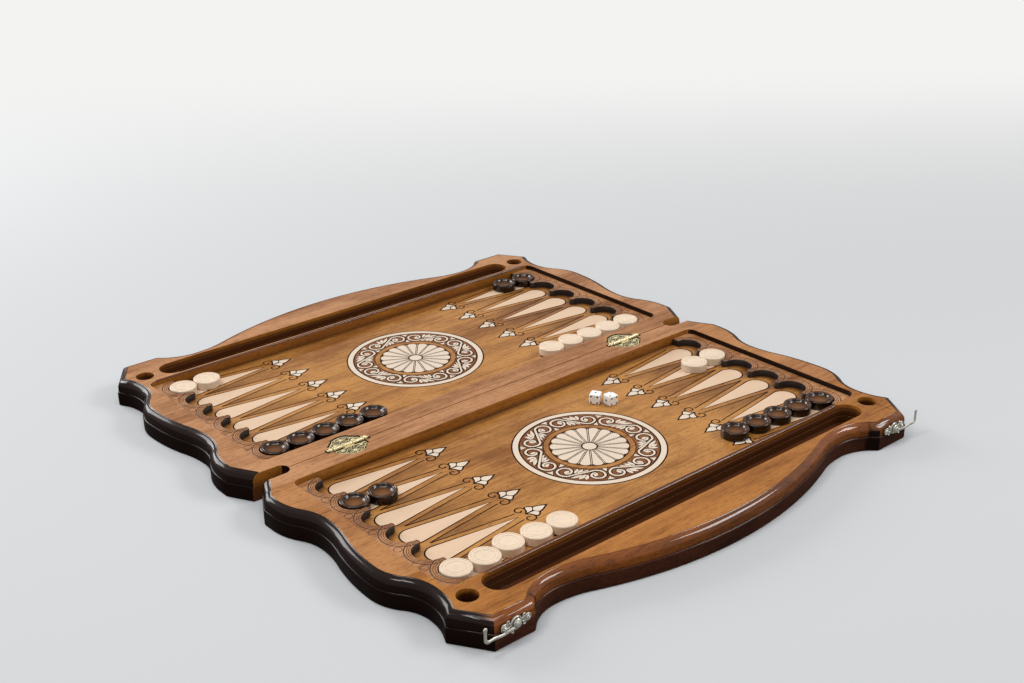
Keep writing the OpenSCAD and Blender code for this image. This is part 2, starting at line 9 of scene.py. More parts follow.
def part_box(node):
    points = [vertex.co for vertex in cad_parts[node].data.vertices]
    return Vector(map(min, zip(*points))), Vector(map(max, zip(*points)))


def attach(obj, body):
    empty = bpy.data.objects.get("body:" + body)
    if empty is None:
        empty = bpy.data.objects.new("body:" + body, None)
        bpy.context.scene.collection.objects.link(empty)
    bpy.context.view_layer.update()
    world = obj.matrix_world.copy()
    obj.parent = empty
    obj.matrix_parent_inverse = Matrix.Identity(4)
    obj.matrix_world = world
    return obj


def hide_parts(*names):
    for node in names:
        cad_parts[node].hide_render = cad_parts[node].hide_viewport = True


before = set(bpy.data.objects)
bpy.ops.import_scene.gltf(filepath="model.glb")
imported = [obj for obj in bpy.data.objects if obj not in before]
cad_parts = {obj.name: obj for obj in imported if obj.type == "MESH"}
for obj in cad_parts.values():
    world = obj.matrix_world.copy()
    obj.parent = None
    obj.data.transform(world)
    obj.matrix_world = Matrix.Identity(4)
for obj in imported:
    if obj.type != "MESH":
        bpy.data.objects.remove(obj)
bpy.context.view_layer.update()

bl_info = {
    "name": "Folding Backgammon Board",
    "version": (1, 0, 0),
    "blender": (4, 5, 0),
    "location": "3D View > Sidebar > Board",
    "description": "Models an opened folding backgammon board with its hinges, latches, checkers and dice",
    "category": "Add Mesh",
}

MM = 0.001
CLEAR = 5 * MM  # how far a cutter reaches past what it cuts
FIT = 0.1 * MM  # clearance between fitted pieces
LEVEL = 0.9999  # upward share of a normal from which a face counts as level
LEAVES = {"rear": 1, "front": -1}
HALVES = {"right": 1, "left": -1}


# Properties

def srgb(code):
    """Linear colour of an sRGB hex code."""
    parts = [int(code[i:i + 2], 16) / 255 for i in (1, 3, 5)]
    return tuple(p / 12.92 if p <= 0.04045 else ((p + 0.055) / 1.055) ** 2.4 for p in parts) + (1.0,)


def length(label, note, mm):
    """Size in millimetres, kept in metres."""
    return bpy.props.FloatProperty(name=label, description=note, default=mm * MM, unit="LENGTH")


def share(label, note, part):
    """Part of a whole."""
    return bpy.props.FloatProperty(name=label, description=note, default=part, subtype="FACTOR")


def turn(label, note, degrees):
    """Angle in degrees, kept in radians."""
    return bpy.props.FloatProperty(
        name=label, description=note, default=math.radians(degrees), unit="ROTATION")


def count(label, note, number):
    """Whole number of things."""
    return bpy.props.IntProperty(name=label, description=note, default=number)


def tint(label, note, code):
    """Colour from its sRGB hex code."""
    return bpy.props.FloatVectorProperty(
        name=label, description=note, size=4, min=0, max=1, default=srgb(code), subtype="COLOR")


class BoardSizes(bpy.types.PropertyGroup):
    """Wooden leaves: outline, edges, openings and ledges."""
    slot_corner_in: length("Slot corner", "How far the outline falls in at the finger slot", 14)
    slot_corner_run: length("Slot corner run", "Run from the hinge line to the slot corner's end", 34)
    end_valley_in: length("End valley", "How far the end's middle valley lies in", 15.5)
    outer_lobe_in: length("Outer lobe", "How far the end's outer lobe lies in", 2.7)
    notch_in: length("Notch", "How far the notch before the corner lies in", 21.8)
    corner_in: length("Corner", "How far the corner's end point lies in", 12.6)
    bevel_in: length("Corner bevel", "How far the corner's side point lies in", 34.5)
    inner_lobe_fall: length("Inner lobe fall", "Run from the inner lobe to the valley", 57)
    outer_lobe_rise: length("Outer lobe rise", "Run from the valley to the outer lobe", 89)
    outer_lobe_fall: length("Outer lobe fall", "Run from the outer lobe to the notch", 56)
    corner_run: length("Corner run", "Run from the notch to the corner", 33)
    bevel_run: length("Bevel run", "Run of the corner's bevel", 34)
    flat_in: length("Latch flat", "How far the latch flat's inner end lies in", 76)
    waist_in: length("Waist", "How far the side's waist lies in", 113)
    corner_out: length("Corner reach", "Reach of the latch flat beyond the waist", 16.5)
    bulge_out: length("Bulge", "Reach of the side's middle bulge beyond the waist", 35)
    inner_lobe_share: share("Inner lobe share", "First arc's share of the inner lobe's fall", 0.57)
    end_valley_share: share("Valley share", "First arc's share of the outer lobe's rise", 0.34)
    outer_lobe_share: share("Outer lobe share", "First arc's share of the outer lobe's fall", 0.56)
    waist_share: share("Waist share", "First arc's share of the bulge's rise", 0.19)
    edge_round: length("Edge rounding", "Width of the rim's rounded outer edge", 6.5)
    edge_rise: length("Edge rise", "Height of the rim's rounded outer edge", 8)
    ovolo_in: length("Edge set-back", "How far the rounded edge stands back from the base board", 0.9)
    quirk_h: length("Edge step", "Height of the small step above the rounded edge", 0.5)
    quirk_w: length("Edge step width", "Width of the small step above the rounded edge", 0.5)
    quirk_lean: length("Edge step lean", "How far the small step leans in", 0.2)
    base_round: length("Base rounding", "Radius of the base board's edges", 1.6)
    ridge_round: length("Ridge rounding", "Radius of the ridge's top edges", 1.7)
    shut_gap: length("Shut gap", "Clearance between the two rims when the case is shut", 0.1)
    small_round: length("Small rounding", "Radius of the broken inner edges", 0.7)
    field_corner: length("Field corner", "Corner radius of the playing field", 9)
    ridge_w: length("Ridge", "Width of the ridge between field and trough", 4.9)
    trough_end_in: length("Trough end", "How far the trough's ends lie in", 60)
    trough_depth: length("Trough depth", "Depth of the checker trough", 19.5)
    trough_step: length("Trough step", "Width of the step in the trough's wall", 1.2)
    trough_step_depth: length("Trough step depth", "Depth of the step in the trough's wall", 6)
    side_wall_w: length("Side wall", "Wood between the trough and the waist", 11.5)
    well_d: length("Well", "Diameter of the round wells", 18.8)
    well_in: length("Well place", "How far the wells lie in", 41.7)
    well_depth: length("Well depth", "Depth of the round wells", 16)
    slot_r: length("Finger slot", "Radius of the finger slots' round end", 8.3)
    slot_in: length("Slot length", "How far the finger slots reach in", 48.5)
    seat_r: length("Seat", "Radius of the half-moon seats", 14.8)
    ledge_round: length("Ledge rounding", "Radius of the ledges' top edges", 0.6)
    groove_w: length("Seat groove", "Width of the grooves round the seats", 1.1)
    arc_steps: count("Arc steps", "Steps of every arc in the outline", 20)


class OrnamentSizes(bpy.types.PropertyGroup):
    """Inlaid points, finials and rosettes with their burnt lines."""
    point_r: length("Point", "Radius of the teardrop's round end", 12)
    line_w: length("Burnt line", "Width of a burnt line", 1.5)
    inlay_sunk: length("Inlay depth", "How deep the inlays are let in", 0.5)
    inlay_proud: length("Inlay height", "How far the points and finials stand over the field", 0.1)
    line_proud: length("Line height", "How far the burnt lines stand over the field", 0.05)
    band_out: length("Band", "Distance of the second line from the point's axis at the tip", 6.5)
    wedge_root: length("Wedge root", "Distance of the second lines' root from the middle of the seats", 14.5)
    wedge_knee: length("Wedge knee", "Distance of the second lines' knee from the point's round end", 20)
    wedge_slim: length("Wedge slimming", "How far the second lines part at the knee", 2.6)
    wedge_end: length("Wedge end", "How far the second lines run past the point's tip", 4)
    scorch_and_shade_proud: length("Scorch and shade height", "How far the scorch and the painted shade lie over the field", 0.02)
    wall_shade_w: length("Painted wall shade", "Width of the strips of painted shade along the field's walls", 8)
    lobe_gap: length("Lobe gap", "Width of the burnt lines between a finial's lobes", 0.7)
    scroll_r: length("Scroll", "Radius of the finial's scrolls", 5.6)
    ring_w: length("Pale ring", "Width of the rosette's pale ring", 5.4)
    ring_edge: length("Ring edge", "Width of the burnt edge of the rosette", 1.5)
    gap_w: length("Rosette gap", "Width of the plain band round the fan", 6.4)
    gap_line_w: length("Gap line", "Width of the burnt line outside the plain band", 0.9)
    fan_line_w: length("Fan line", "Width of the scored line round the fan", 0.5)
    stem_w: length("Stem", "Width of the rosette's pale stems", 2.7)
    stem_line_w: length("Stem line", "Width of a stem with its burnt lines", 4.2)
    stem_bed_w: length("Stem bed", "Width of the bed under a stem", 4.6)
    leaf_line_w: length("Leaf line", "Width of the burnt line round the rosette's leaves", 0.7)
    scroll_place: length("Scroll circle", "Radius on which the rosette's scrolls sit", 56.4)
    scroll_size: length("Rosette scroll", "Radius of the rosette's scrolls", 8.4)
    scroll_units: count("Scroll units", "Double scrolls round the rosette", 7)
    petals: count("Petals", "Petals of the rosette's fan", 18)
    hub_r: length("Hub", "Radius of the fan's hub", 6.8)


class LoosePieceSizes(bpy.types.PropertyGroup):
    """Checkers and dice."""
    checker_edge: length("Checker edge", "Rounding of the checkers' edges", 1.3)
    die_w: length("Die", "Width of a die", 11.5)
    die_round: length("Die edge", "Rounding of a die's edges", 1.7)
    pip_r: length("Pip", "Radius of a pip", 1.15)
    left_die_yaw: turn("Left die", "Turn of the left die", 31)
    right_die_yaw: turn("Right die", "Turn of the right die", -3)


class HardwareSizes(bpy.types.PropertyGroup):
    """Hinges and latches."""
    sheet_t: length("Sheet", "Thickness of the plates under their relief", 0.7)
    relief_w: length("Relief", "Width of the embossed lines", 1.0)
    relief_h: length("Relief height", "Height of the embossed lines", 0.6)
    barrel_r: length("Barrel", "Radius of the hinge knuckles", 2.3)
    knuckle_gap: length("Knuckle gap", "Gap between the hinge knuckles", 0.3)
    pin_ball_r: length("Pin ball", "Radius of the hinge pin's end balls", 2.3)
    screw_r: length("Screw head", "Radius of the screw heads", 1.9)
    screw_pair_l: length("Screw pair", "Distance between the two inner hinge screws", 20.8)
    screw_pair_w: length("Screw pair place", "Distance of the inner hinge screws from the pin", 6.7)
    outer_screw_w: length("Outer screw place", "Distance of the outer hinge screw from the pin", 13)
    hook_r: length("Hook", "Radius of the hook's round bar", 1.6)
    hook_drop: length("Hook drop", "Distance of the hook's bar below its pivot", 3.5)
    hook_tip_h: length("Hook tip", "Height of the hook's turned-up tip", 8.5)
    hook_knob_r: length("Hook knob", "Radius of the knob on the hook's tip", 2.2)
    latch_screw_x: length("Latch screws", "Distance of the latch screws from the pivot", 12)


class Finishes(bpy.types.PropertyGroup):
    """Colours of woods, metals and the stage."""
    rim: tint("Rim", "Stained wood of the rims", "#B8855C")
    field: tint("Field", "Stained wood of the fields", "#B98245")
    # Also the colour of painted shade: at half its light on the front leaf's ridge, and darker still in the
    # field's seats and along its walls, where it also colours the scorch
    streak_and_shade: tint("Streak", "Dark streaks of the stained wood", "#6E3A12")
    end_grain: tint("End grain", "End grain, where stain soaks in nearly black", "#150906")
    # Painted shade: this colour stands for the hinges' shadow in their mortises
    mortise: tint("Mortise", "Inside of the hinge mortises", "#0C0604")
    side_grain: tint("Side grain", "Long sides of the rails", "#8A4A14")
    base_side: tint("Base side", "Long sides of the base boards", "#4A2616")
    wall: tint("Field walls", "Walls round the field and lips of the troughs", "#A86C26")
    # Also the painted shade: at half its light it darkens troughs, wells and slots below their lips and the
    # field walls at their foot
    trough: tint("Trough", "Dark brown of ridges and grain streaks, and at half its light painted shade low in troughs, wells and slots and at wall feet", "#6C3C1E")
    # Painted light: only the front leaf's outer rail takes this deeper colour, its end rails half of it; the
    # rear leaf keeps the lighter rim colour there as a painted sheen
    outer_rim: tint("Outer rim", "Stained wood of the outer rails", "#AE7338")
    burnt: tint("Burnt line", "Lines burnt into the wood", "#24110A")
    groove: tint("Groove", "Carved grooves and scored lines, dark brown", "#3A1D0C")
    ground: tint("Rosette ground", "Ground behind the rosette's scrolls", "#8A5630")
    pale: tint("Pale inlay", "Pale inlaid wood", "#DABB9E")
    rosette: tint("Rosette", "Pale wood of the rosettes", "#DCCAB6")
    dark_checker: tint("Dark checker", "Bowls of the stained checkers", "#7A4A1E")
    checker_rim: tint("Dark checker rim", "Rims and sides of the stained checkers", "#170A05")
    light_checker: tint("Light checker", "Natural pale checkers", "#E4CEB5")
    brass: tint("Brass", "Aged brass of the hinges", "#E6D6A6")
    silver: tint("Silver", "Aged silver of the latches", "#E2DFD2")
    die: tint("Die", "Dice", "#F4F3EF")
    pip: tint("Pip", "Pips of the dice", "#101010")
    floor: tint("Floor", "Studio floor", "#C2C4C6")
    backdrop: tint("Backdrop", "White backdrop behind the floor", "#F3F3F2")


GROUPS = {"board_sizes": BoardSizes, "ornament_sizes": OrnamentSizes,
          "loose_sizes": LoosePieceSizes, "hardware_sizes": HardwareSizes, "board_finishes": Finishes}


# Modelling helpers

def activate(obj):
    """Makes one object the only selected and the active one."""
    bpy.ops.object.select_all(action="DESELECT")
    obj.select_set(True)
    bpy.context.view_layer.objects.active = obj


def edit(obj, kind="FACE"):
    """Edit mode with the whole mesh selected."""
    activate(obj)
    bpy.ops.object.mode_set(mode="EDIT")
    bpy.ops.mesh.select_mode(type=kind)
    bpy.ops.mesh.select_all(action="SELECT")


def leave():
    """Back to object mode."""
    bpy.ops.object.mode_set(mode="OBJECT")


def plate(name, outline, low, high):
    """Plate of an outline of (x, y) points between two heights."""
    bpy.ops.object.select_all(action="DESELECT")
    bpy.ops.mesh.primitive_circle_add(vertices=len(outline), fill_type="NGON")
    obj = bpy.context.object
    obj.name = name
    for vert, (x, y) in zip(obj.data.vertices, outline):
        vert.co = (x, y, low)
    edit(obj)
    bpy.ops.mesh.extrude_region_move(TRANSFORM_OT_translate={"value": (0, 0, high - low)})
    leave()
    face_out(obj)
    return obj


def face_out(obj):
    """Turns every face outwards; the highest face must look up."""
    edit(obj)
    bpy.ops.mesh.normals_make_consistent(inside=False)
    leave()
    if max(obj.data.polygons, key=lambda face: face.center.z).normal.z < 0:
        obj.data.flip_normals()


def moulded(name, outline, low, first, steps):
    """Plate that rises by a first height and then draws in and up in (in, up) steps."""
    obj = plate(name, outline, low, low + first)
    edit(obj)
    bpy.ops.mesh.select_all(action="DESELECT")
    leave()
    for face in obj.data.polygons:
        face.select = face.normal.z > 0.9
    bpy.ops.object.mode_set(mode="EDIT")
    for inward, up in steps:
        bpy.ops.mesh.inset(thickness=inward, depth=up)
    leave()
    for face in obj.data.polygons:
        face.material_index = 0 if face.select else 1
    face_out(obj)
    return obj


def box(name, low, high):
    """Box between two corners."""
    return plate(name, [(low[0], low[1]), (high[0], low[1]), (high[0], high[1]), (low[0], high[1])],
                 low[2], high[2])


def ball(centre, radius, segments=24):
    """Round bead."""
    bpy.ops.object.select_all(action="DESELECT")
    bpy.ops.mesh.primitive_uv_sphere_add(
        segments=segments, ring_count=segments // 2, radius=radius, location=centre)
    obj = bpy.context.object
    settle(obj)
    return obj


def settle(obj):
    """Moves the object's place, turn and scale into its mesh."""
    activate(obj)
    bpy.ops.object.transform_apply(location=True, rotation=True, scale=True)


def turned(name, profile, steps=64):
    """Piece turned round Z from (radius, height) points."""
    obj = wire(name, [[(r, 0, z) for r, z in profile]], False)
    activate(obj)
    bpy.ops.object.convert(target="MESH")
    edit(obj, "VERT")
    bpy.ops.mesh.spin(steps=steps, angle=math.tau, center=(0, 0, 0), axis=(0, 0, 1))
    bpy.ops.mesh.select_all(action="SELECT")
    bpy.ops.mesh.remove_doubles(threshold=0.002 * MM)
    bpy.ops.mesh.normals_make_consistent(inside=False)
    leave()
    return obj


def wire(name, lines, closed):
    """Curve object of polylines of (x, y, z) points."""
    bpy.ops.object.select_all(action="DESELECT")
    bpy.ops.curve.primitive_nurbs_path_add()
    obj = bpy.context.object
    obj.name = name
    obj.data.splines.clear()
    for points in lines:
        spline = obj.data.splines.new("POLY")
        spline.points.add(len(points) - 1)
        for point, place in zip(spline.points, points):
            point.co = (*place, 1)
        spline.use_cyclic_u = closed
    return obj


def ribbon(name, lines, width, z, lift, closed=False):
    """Flat round-edged lines of one width lying on a height."""
    obj = wire(name, [[(x, y, z) for x, y in points] for points in lines], closed)
    obj.data.dimensions = "3D"
    obj.data.bevel_depth = width / 2
    obj.data.bevel_resolution = 1
    obj.data.use_fill_caps = True
    activate(obj)
    bpy.ops.object.convert(target="MESH")
    edit(obj)
    bpy.ops.transform.resize(value=(1, 1, 2 * lift / width), center_override=(0, 0, z))
    leave()
    return obj


def join(name, objs):
    """One object made of several."""
    activate(objs[0])
    for obj in objs:
        obj.select_set(True)
    if len(objs) > 1:
        bpy.ops.object.join()
    objs[0].name = name
    return objs[0]


def copied(obj, name, matrix=None):
    """Copy with its own mesh, moved by a matrix; a mirrored copy is turned right side out."""
    made = obj.copy()
    made.data = obj.data.copy()
    made.name = name
    bpy.context.collection.objects.link(made)
    if matrix is not None:
        made.data.transform(matrix)
        if matrix.determinant() < 0:
            made.data.flip_normals()
    return made


def mirror(x, y):
    """Matrix that turns X and Y round by their signs."""
    return Matrix.Diagonal((x, y, 1, 1))


def apply(obj, kind, **settings):
    """Adds a modifier and applies it."""
    activate(obj)
    made = obj.modifiers.new(kind.lower(), kind)
    for key, value in settings.items():
        setattr(made, key, value)
    bpy.ops.object.modifier_apply(modifier=made.name)


def cut(obj, *tools):
    """Takes the tools out of a piece; the cut walls keep the tools' finish."""
    for tool in tools:
        apply(obj, "BOOLEAN", operation="DIFFERENCE", object=tool, solver="MANIFOLD",
              material_mode="TRANSFER")
        bpy.data.objects.remove(tool)


def keep(obj, place, direction):
    """Cuts the piece at a plane, keeps the side the direction points to and closes it."""
    edit(obj)
    bpy.ops.mesh.bisect(plane_co=place, plane_no=direction, use_fill=True, clear_inner=True, threshold=1e-6)
    leave()


def round_edges(obj, radius, segments, test):
    """Rounds the edges whose two ends pass a test."""
    edit(obj, "EDGE")
    bpy.ops.mesh.select_all(action="DESELECT")
    leave()
    verts = obj.data.vertices
    for edge in obj.data.edges:
        edge.select = test(verts[edge.vertices[0]].co, verts[edge.vertices[1]].co)
    bpy.ops.object.mode_set(mode="EDIT")
    bpy.ops.mesh.bevel(offset=radius, segments=segments, affect="EDGES")
    leave()


def soften(obj, radius, segments=2, angle=50):
    """Rounds every sharp edge a little."""
    apply(obj, "BEVEL", width=radius, segments=segments, limit_method="ANGLE",
          angle_limit=math.radians(angle), use_clamp_overlap=False)


def shade(obj, angle=40):
    """Smooth shading that keeps level faces level."""
    activate(obj)
    bpy.ops.object.shade_smooth_by_angle(angle=math.radians(angle))
    edit(obj)
    bpy.ops.mesh.select_all(action="DESELECT")
    leave()
    level = [abs(face.normal.z) > LEVEL for face in obj.data.polygons]
    obj.data.polygons.foreach_set("select", level)
    bpy.ops.object.mode_set(mode="EDIT")
    if any(level):
        bpy.ops.mesh.region_to_loop()
        bpy.ops.mesh.mark_sharp()
    leave()
    apply(obj, "WEIGHTED_NORMAL", keep_sharp=True, weight=60)


def finished(obj, body, material=None, nodes=()):
    """Gives a piece its material and its place in the frame."""
    if not obj.data.polygons:
        raise RuntimeError(f"{obj.name} has no faces")
    if material is not None:
        obj.data.materials.clear()
        obj.data.materials.append(material)
    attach(obj, body)
    if nodes:
        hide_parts(*nodes)
    return obj


# Outlines

def bend(a, b, steps):
    """Arc that leaves a along the run and ends at b; points are (run, reach)."""
    run, rise = b[0] - a[0], b[1] - a[1]
    r = (run * run + rise * rise) / (2 * rise)
    whole = math.atan2(run / r, 1 - rise / r)
    turns = [whole * i / steps for i in range(steps + 1)]
    return [(a[0] + r * math.sin(t), a[1] + r * (1 - math.cos(t))) for t in turns]


def sway(a, b, part, steps):
    """Double curve of two arcs, along the run at both ends."""
    middle = (a[0] + part * (b[0] - a[0]), a[1] + part * (b[1] - a[1]))
    return bend(a, middle, steps) + bend(b, middle, steps)[::-1]


def around(centre, r, angle):
    """Place on a circle."""
    return (centre[0] + r * math.cos(angle), centre[1] + r * math.sin(angle))


def arc(centre, r, start, end, steps):
    """Points on a circle between two angles in degrees."""
    turns = [math.radians(start + (end - start) * i / steps) for i in range(steps + 1)]
    return [around(centre, r, t) for t in turns]


def ring(centre, r, steps=96):
    """Points of a whole circle."""
    return arc(centre, r, 0, 360, steps)[:-1]


def thinned(points):
    """The closed outline without repeated neighbours."""
    return [p for i, p in enumerate(points) if math.dist(p, points[i - 1]) > 0.02 * MM]


def eased(points, clear):
    """The closed outline without the points that crowd a sharp corner, so that it can be drawn in."""
    def turning(i):
        a, b, c = (Vector(points[(i + k) % len(points)]) for k in (-1, 0, 1))
        return abs((b - a).angle_signed(c - b))
    sharp = [q for i, q in enumerate(points) if turning(i) > math.radians(12)]
    return [q for q in points if q in sharp or all(math.dist(q, corner) > clear for corner in sharp)]


def rounded_box(centre, half_x, half_y, r, steps=12):
    """Rectangle with round corners."""
    corners = ((1, 1), (-1, 1), (-1, -1), (1, -1))
    return thinned([p for q, (x, y) in enumerate(corners) for p in arc(
        (centre[0] + x * (half_x - r), centre[1] + y * (half_y - r)), r, 90 * q, 90 * q + 90, steps)])


def layout(context):
    """Places on the rear leaf, from the frame and the sizes: x from the middle, s from the hinge line."""
    b = context.scene.board_sizes
    base_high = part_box("rear_base_board")[1]
    hinge_low, hinge_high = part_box("rear_hinge_rail")
    ledge_low, ledge_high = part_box("rear_right_ledge")
    point_low, point_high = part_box("rear_right_points")
    p = SimpleNamespace(
        half_l=base_high.x, base_z=base_high.z, rim_z=hinge_high.z - b.shut_gap / 2, seam=hinge_low.y,
        field_s0=hinge_high.y, plank_s=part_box("rear_outer_rail")[0].y,
        ledge_z=ledge_high.z, field_x=ledge_high.x + FIT)
    p.field_s1 = ledge_high.y + (ledge_low.y - p.field_s0)
    p.field_s = (p.field_s0 + p.field_s1) / 2
    p.trough_s0 = p.field_s1 + b.ridge_w
    p.waist_s = base_high.y - b.bulge_out
    p.trough_s1 = p.waist_s - b.side_wall_w
    p.trough_s = (p.trough_s0 + p.trough_s1) / 2
    p.flat_s = p.waist_s + b.corner_out
    p.point_r = context.scene.ornament_sizes.point_r
    p.point_x = point_high.x - p.point_r
    p.tip_x = point_low.x
    first, last = point_low.y + p.point_r, point_high.y - p.point_r
    p.pitch = (last - first) / 5
    p.rows = [first + i * p.pitch for i in range(6)]
    p.seat_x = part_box("rear_right_light_checkers")[1].x - checker_size()[0] / 2
    p.slot_x = p.half_l - b.slot_in + b.slot_r
    p.well_x = p.half_l - b.well_in
    p.trough_x = p.half_l - b.trough_end_in
    ring_low, ring_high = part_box("rear_rosette_ring")
    p.rosette_r = (ring_high.x - ring_low.x) / 2
    p.fan_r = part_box("rear_rosette_fan")[1].x
    return p


def checker_size():
    """Diameter and height of a checker."""
    low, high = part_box("rear_left_dark_checkers")
    return high.y - low.y, high.z - low.z


def leaf_outline(context):
    """Outline of the rear leaf; the hinge side runs on past the hinge line."""
    b, p = context.scene.board_sizes, layout(context)
    n = b.arc_steps
    corner_s = p.flat_s - b.bevel_run
    notch_s = corner_s - b.corner_run
    outer_s = notch_s - b.outer_lobe_fall
    valley_s = outer_s - b.outer_lobe_rise
    inner_s = valley_s - b.inner_lobe_fall
    inner, valley = (inner_s, p.half_l), (valley_s, p.half_l - b.end_valley_in)
    outer, notch = (outer_s, p.half_l - b.outer_lobe_in), (notch_s, p.half_l - b.notch_in)
    end = ([(b.slot_r, p.half_l - b.slot_corner_in), (b.slot_corner_run, p.half_l)]
           + sway(inner, valley, b.inner_lobe_share, n)
           + sway(valley, outer, b.end_valley_share, n)
           + sway(outer, notch, b.outer_lobe_share, n)
           + bend(notch, (corner_s, p.half_l - b.corner_in), n))
    waist = (p.half_l - b.waist_in, p.waist_s)
    side = ([(p.half_l - b.bevel_in, p.flat_s)]
            + bend(waist, (p.half_l - b.flat_in, p.flat_s), n)[::-1]
            + sway(waist, (0, p.waist_s + b.bulge_out), b.waist_share, 2 * n))
    right = [(p.half_l - b.slot_corner_in, -2 * b.slot_r)] + [(x, s) for s, x in end] + side
    clear = 1.6 * b.edge_round
    return eased(thinned(right + [(-x, s) for x, s in reversed(right)]), clear)


def both_leaves(obj, name):
    """The rear piece and its mirrored copy on the front leaf."""
    front = copied(obj, "front_" + name, mirror(1, -1))
    obj.name = "rear_" + name
    return {"rear": obj, "front": front}


# Materials

# Length and width in millimetres, and detail, of what makes the grain; pores are drawn coarse enough to show
GRAIN = {"stains": (130, 60, 2.0), "bands": (300, 22, 3.0), "streaks": (60, 2.8, 4.0),
         "blotches": (16, 7, 3.0), "pores": (7, 1.3, 1.0)}
TONES = {"stains": 0.35, "bands": 0.25, "streaks": 0.25, "blotches": 0.15}
SMOOTH = {"interpolation_type": "SMOOTHSTEP"}
COLOUR = {"data_type": "RGBA"}


def add(tree, kind, inputs, **settings):
    """One shader node; an input is a value, another node's output, or a node for its first output."""
    made = tree.nodes.new("ShaderNode" + kind)
    for key, value in settings.items():
        setattr(made, key, value)
    for key, value in inputs.items() if isinstance(inputs, dict) else enumerate(inputs):
        if isinstance(value, bpy.types.Node):
            value = value.outputs[0]
        if isinstance(value, bpy.types.NodeSocket):
            tree.links.new(value, made.inputs[key])
        else:
            made.inputs[key].default_value = value
    return made


def started(name):
    """New material with an empty shader tree."""
    material = bpy.data.materials.new(name)
    material.use_nodes = True
    material.node_tree.nodes.clear()
    return material, material.node_tree


def darker(colour, part):
    """A part of a colour's light."""
    return tuple(part * c for c in colour[:3]) + (1.0,)


def plain(name, colour, roughness, coat=0.0, specular=0.5):
    """Even surface of one colour."""
    material, tree = started(name)
    shader = add(tree, "BsdfPrincipled", {"Base Color": colour, "Roughness": roughness, "Coat Weight": coat,
                                          "Coat Roughness": 0.12, "Specular IOR Level": specular})
    add(tree, "OutputMaterial", {"Surface": shader})
    return material


def wood(name, colour, streak_and_shade, seed, roughness=0.38, coat=0.35, contrast=1.0, grit=1.0,
         end=None, shadow=None, scorch=None, side_coat=1.0):
    """Straight grain along X under lacquer, which weighs coat on level faces and side_coat on the others.

    End colours the end grain, shadow is a mask of painted shade, and scorch colours burnt places and painted
    shade.
    """
    material, tree = started(name)
    place = add(tree, "TexCoord", {}).outputs
    noise = {}
    for kind, (along, across, detail) in GRAIN.items():
        scale = (1 / (along * MM), 1 / (across * MM), 1 / (across * MM))
        spread = add(tree, "Mapping", {
            "Vector": place["Object"], "Location": (seed, 3 * seed, seed), "Scale": scale})
        noise[kind] = add(tree, "TexNoise", {
            "Vector": spread, "Scale": 1.0, "Detail": detail, "Roughness": 0.6})
    tone = 0.0
    for kind, part in TONES.items():
        tone = add(tree, "Math", (noise[kind], part, tone), operation="MULTIPLY_ADD")
    stain = add(tree, "MapRange", (tone, 0.40, 0.64, 0.0, contrast), **SMOOTH)
    base = add(tree, "Mix", {0: stain, 6: colour, 7: streak_and_shade}, **COLOUR).outputs[2]
    dots = add(tree, "MapRange", (noise["pores"], 0.55, 0.70, 0.0, 0.5 * grit), **SMOOTH)
    base = add(tree, "Mix", {0: dots, 6: base, 7: darker(streak_and_shade, 0.4)}, **COLOUR).outputs[2]
    facing = add(tree, "SeparateXYZ", (place["Normal"],)).outputs
    gloss = add(tree, "MapRange", (facing[2], 0.5, 0.98, side_coat, coat), **SMOOTH)
    if end is not None:
        along = add(tree, "Math", (facing[0],), operation="ABSOLUTE")
        across = add(tree, "Math", (facing[1],), operation="ABSOLUTE")
        lean = add(tree, "Math", (across, -0.75, along), operation="MULTIPLY_ADD")
        soaked = add(tree, "MapRange", (lean, -0.06, 0.06, 0.0, 0.98), **SMOOTH)
        base = add(tree, "Mix", {0: soaked, 6: base, 7: end}, **COLOUR).outputs[2]
        dull = add(tree, "MapRange", (lean, -0.06, 0.06, 1.0, 0.45), **SMOOTH)
        gloss = add(tree, "Math", (gloss, dull), operation="MULTIPLY")
    # Painted shade: the shadow mask darkens the colour towards half its streak colour
    if shadow is not None:
        dark = darker(streak_and_shade, 0.5)
        base = add(tree, "Mix", {0: shadow(tree, place["Object"]), 6: base, 7: dark}, **COLOUR).outputs[2]
    # Scorch and painted shade: the scorch attribute darkens the colour towards the given one
    if scorch is not None:
        depth = add(tree, "Attribute", {}, attribute_name="scorch", attribute_type="GEOMETRY").outputs["Fac"]
        base = add(tree, "Mix", {0: depth, 6: base, 7: scorch}, **COLOUR).outputs[2]
    rough = add(tree, "Math", (dots, 0.3, roughness), operation="MULTIPLY_ADD")
    bump = add(tree, "Bump", {"Height": noise["streaks"], "Strength": 0.1 * grit, "Distance": 0.3 * MM})
    shader = add(tree, "BsdfPrincipled", {
        "Base Color": base, "Roughness": rough, "Normal": bump, "Coat Weight": gloss, "Coat Roughness": 0.07,
        "Specular IOR Level": 0.05})
    add(tree, "OutputMaterial", {"Surface": shader})
    return material


def shared(name, *settings, **more):
    """The wood of a name, made once."""
    return bpy.data.materials.get(name) or wood(name, *settings, **more)


def depth_shade(low, high, most):
    """Mask of painted shade that grows from nothing at one height to its most at a lower one."""
    def mask(tree, spot):
        height = add(tree, "SeparateXYZ", (spot,)).outputs[2]
        return add(tree, "MapRange", (height, low, high, most, 0.0), **SMOOTH)
    return mask


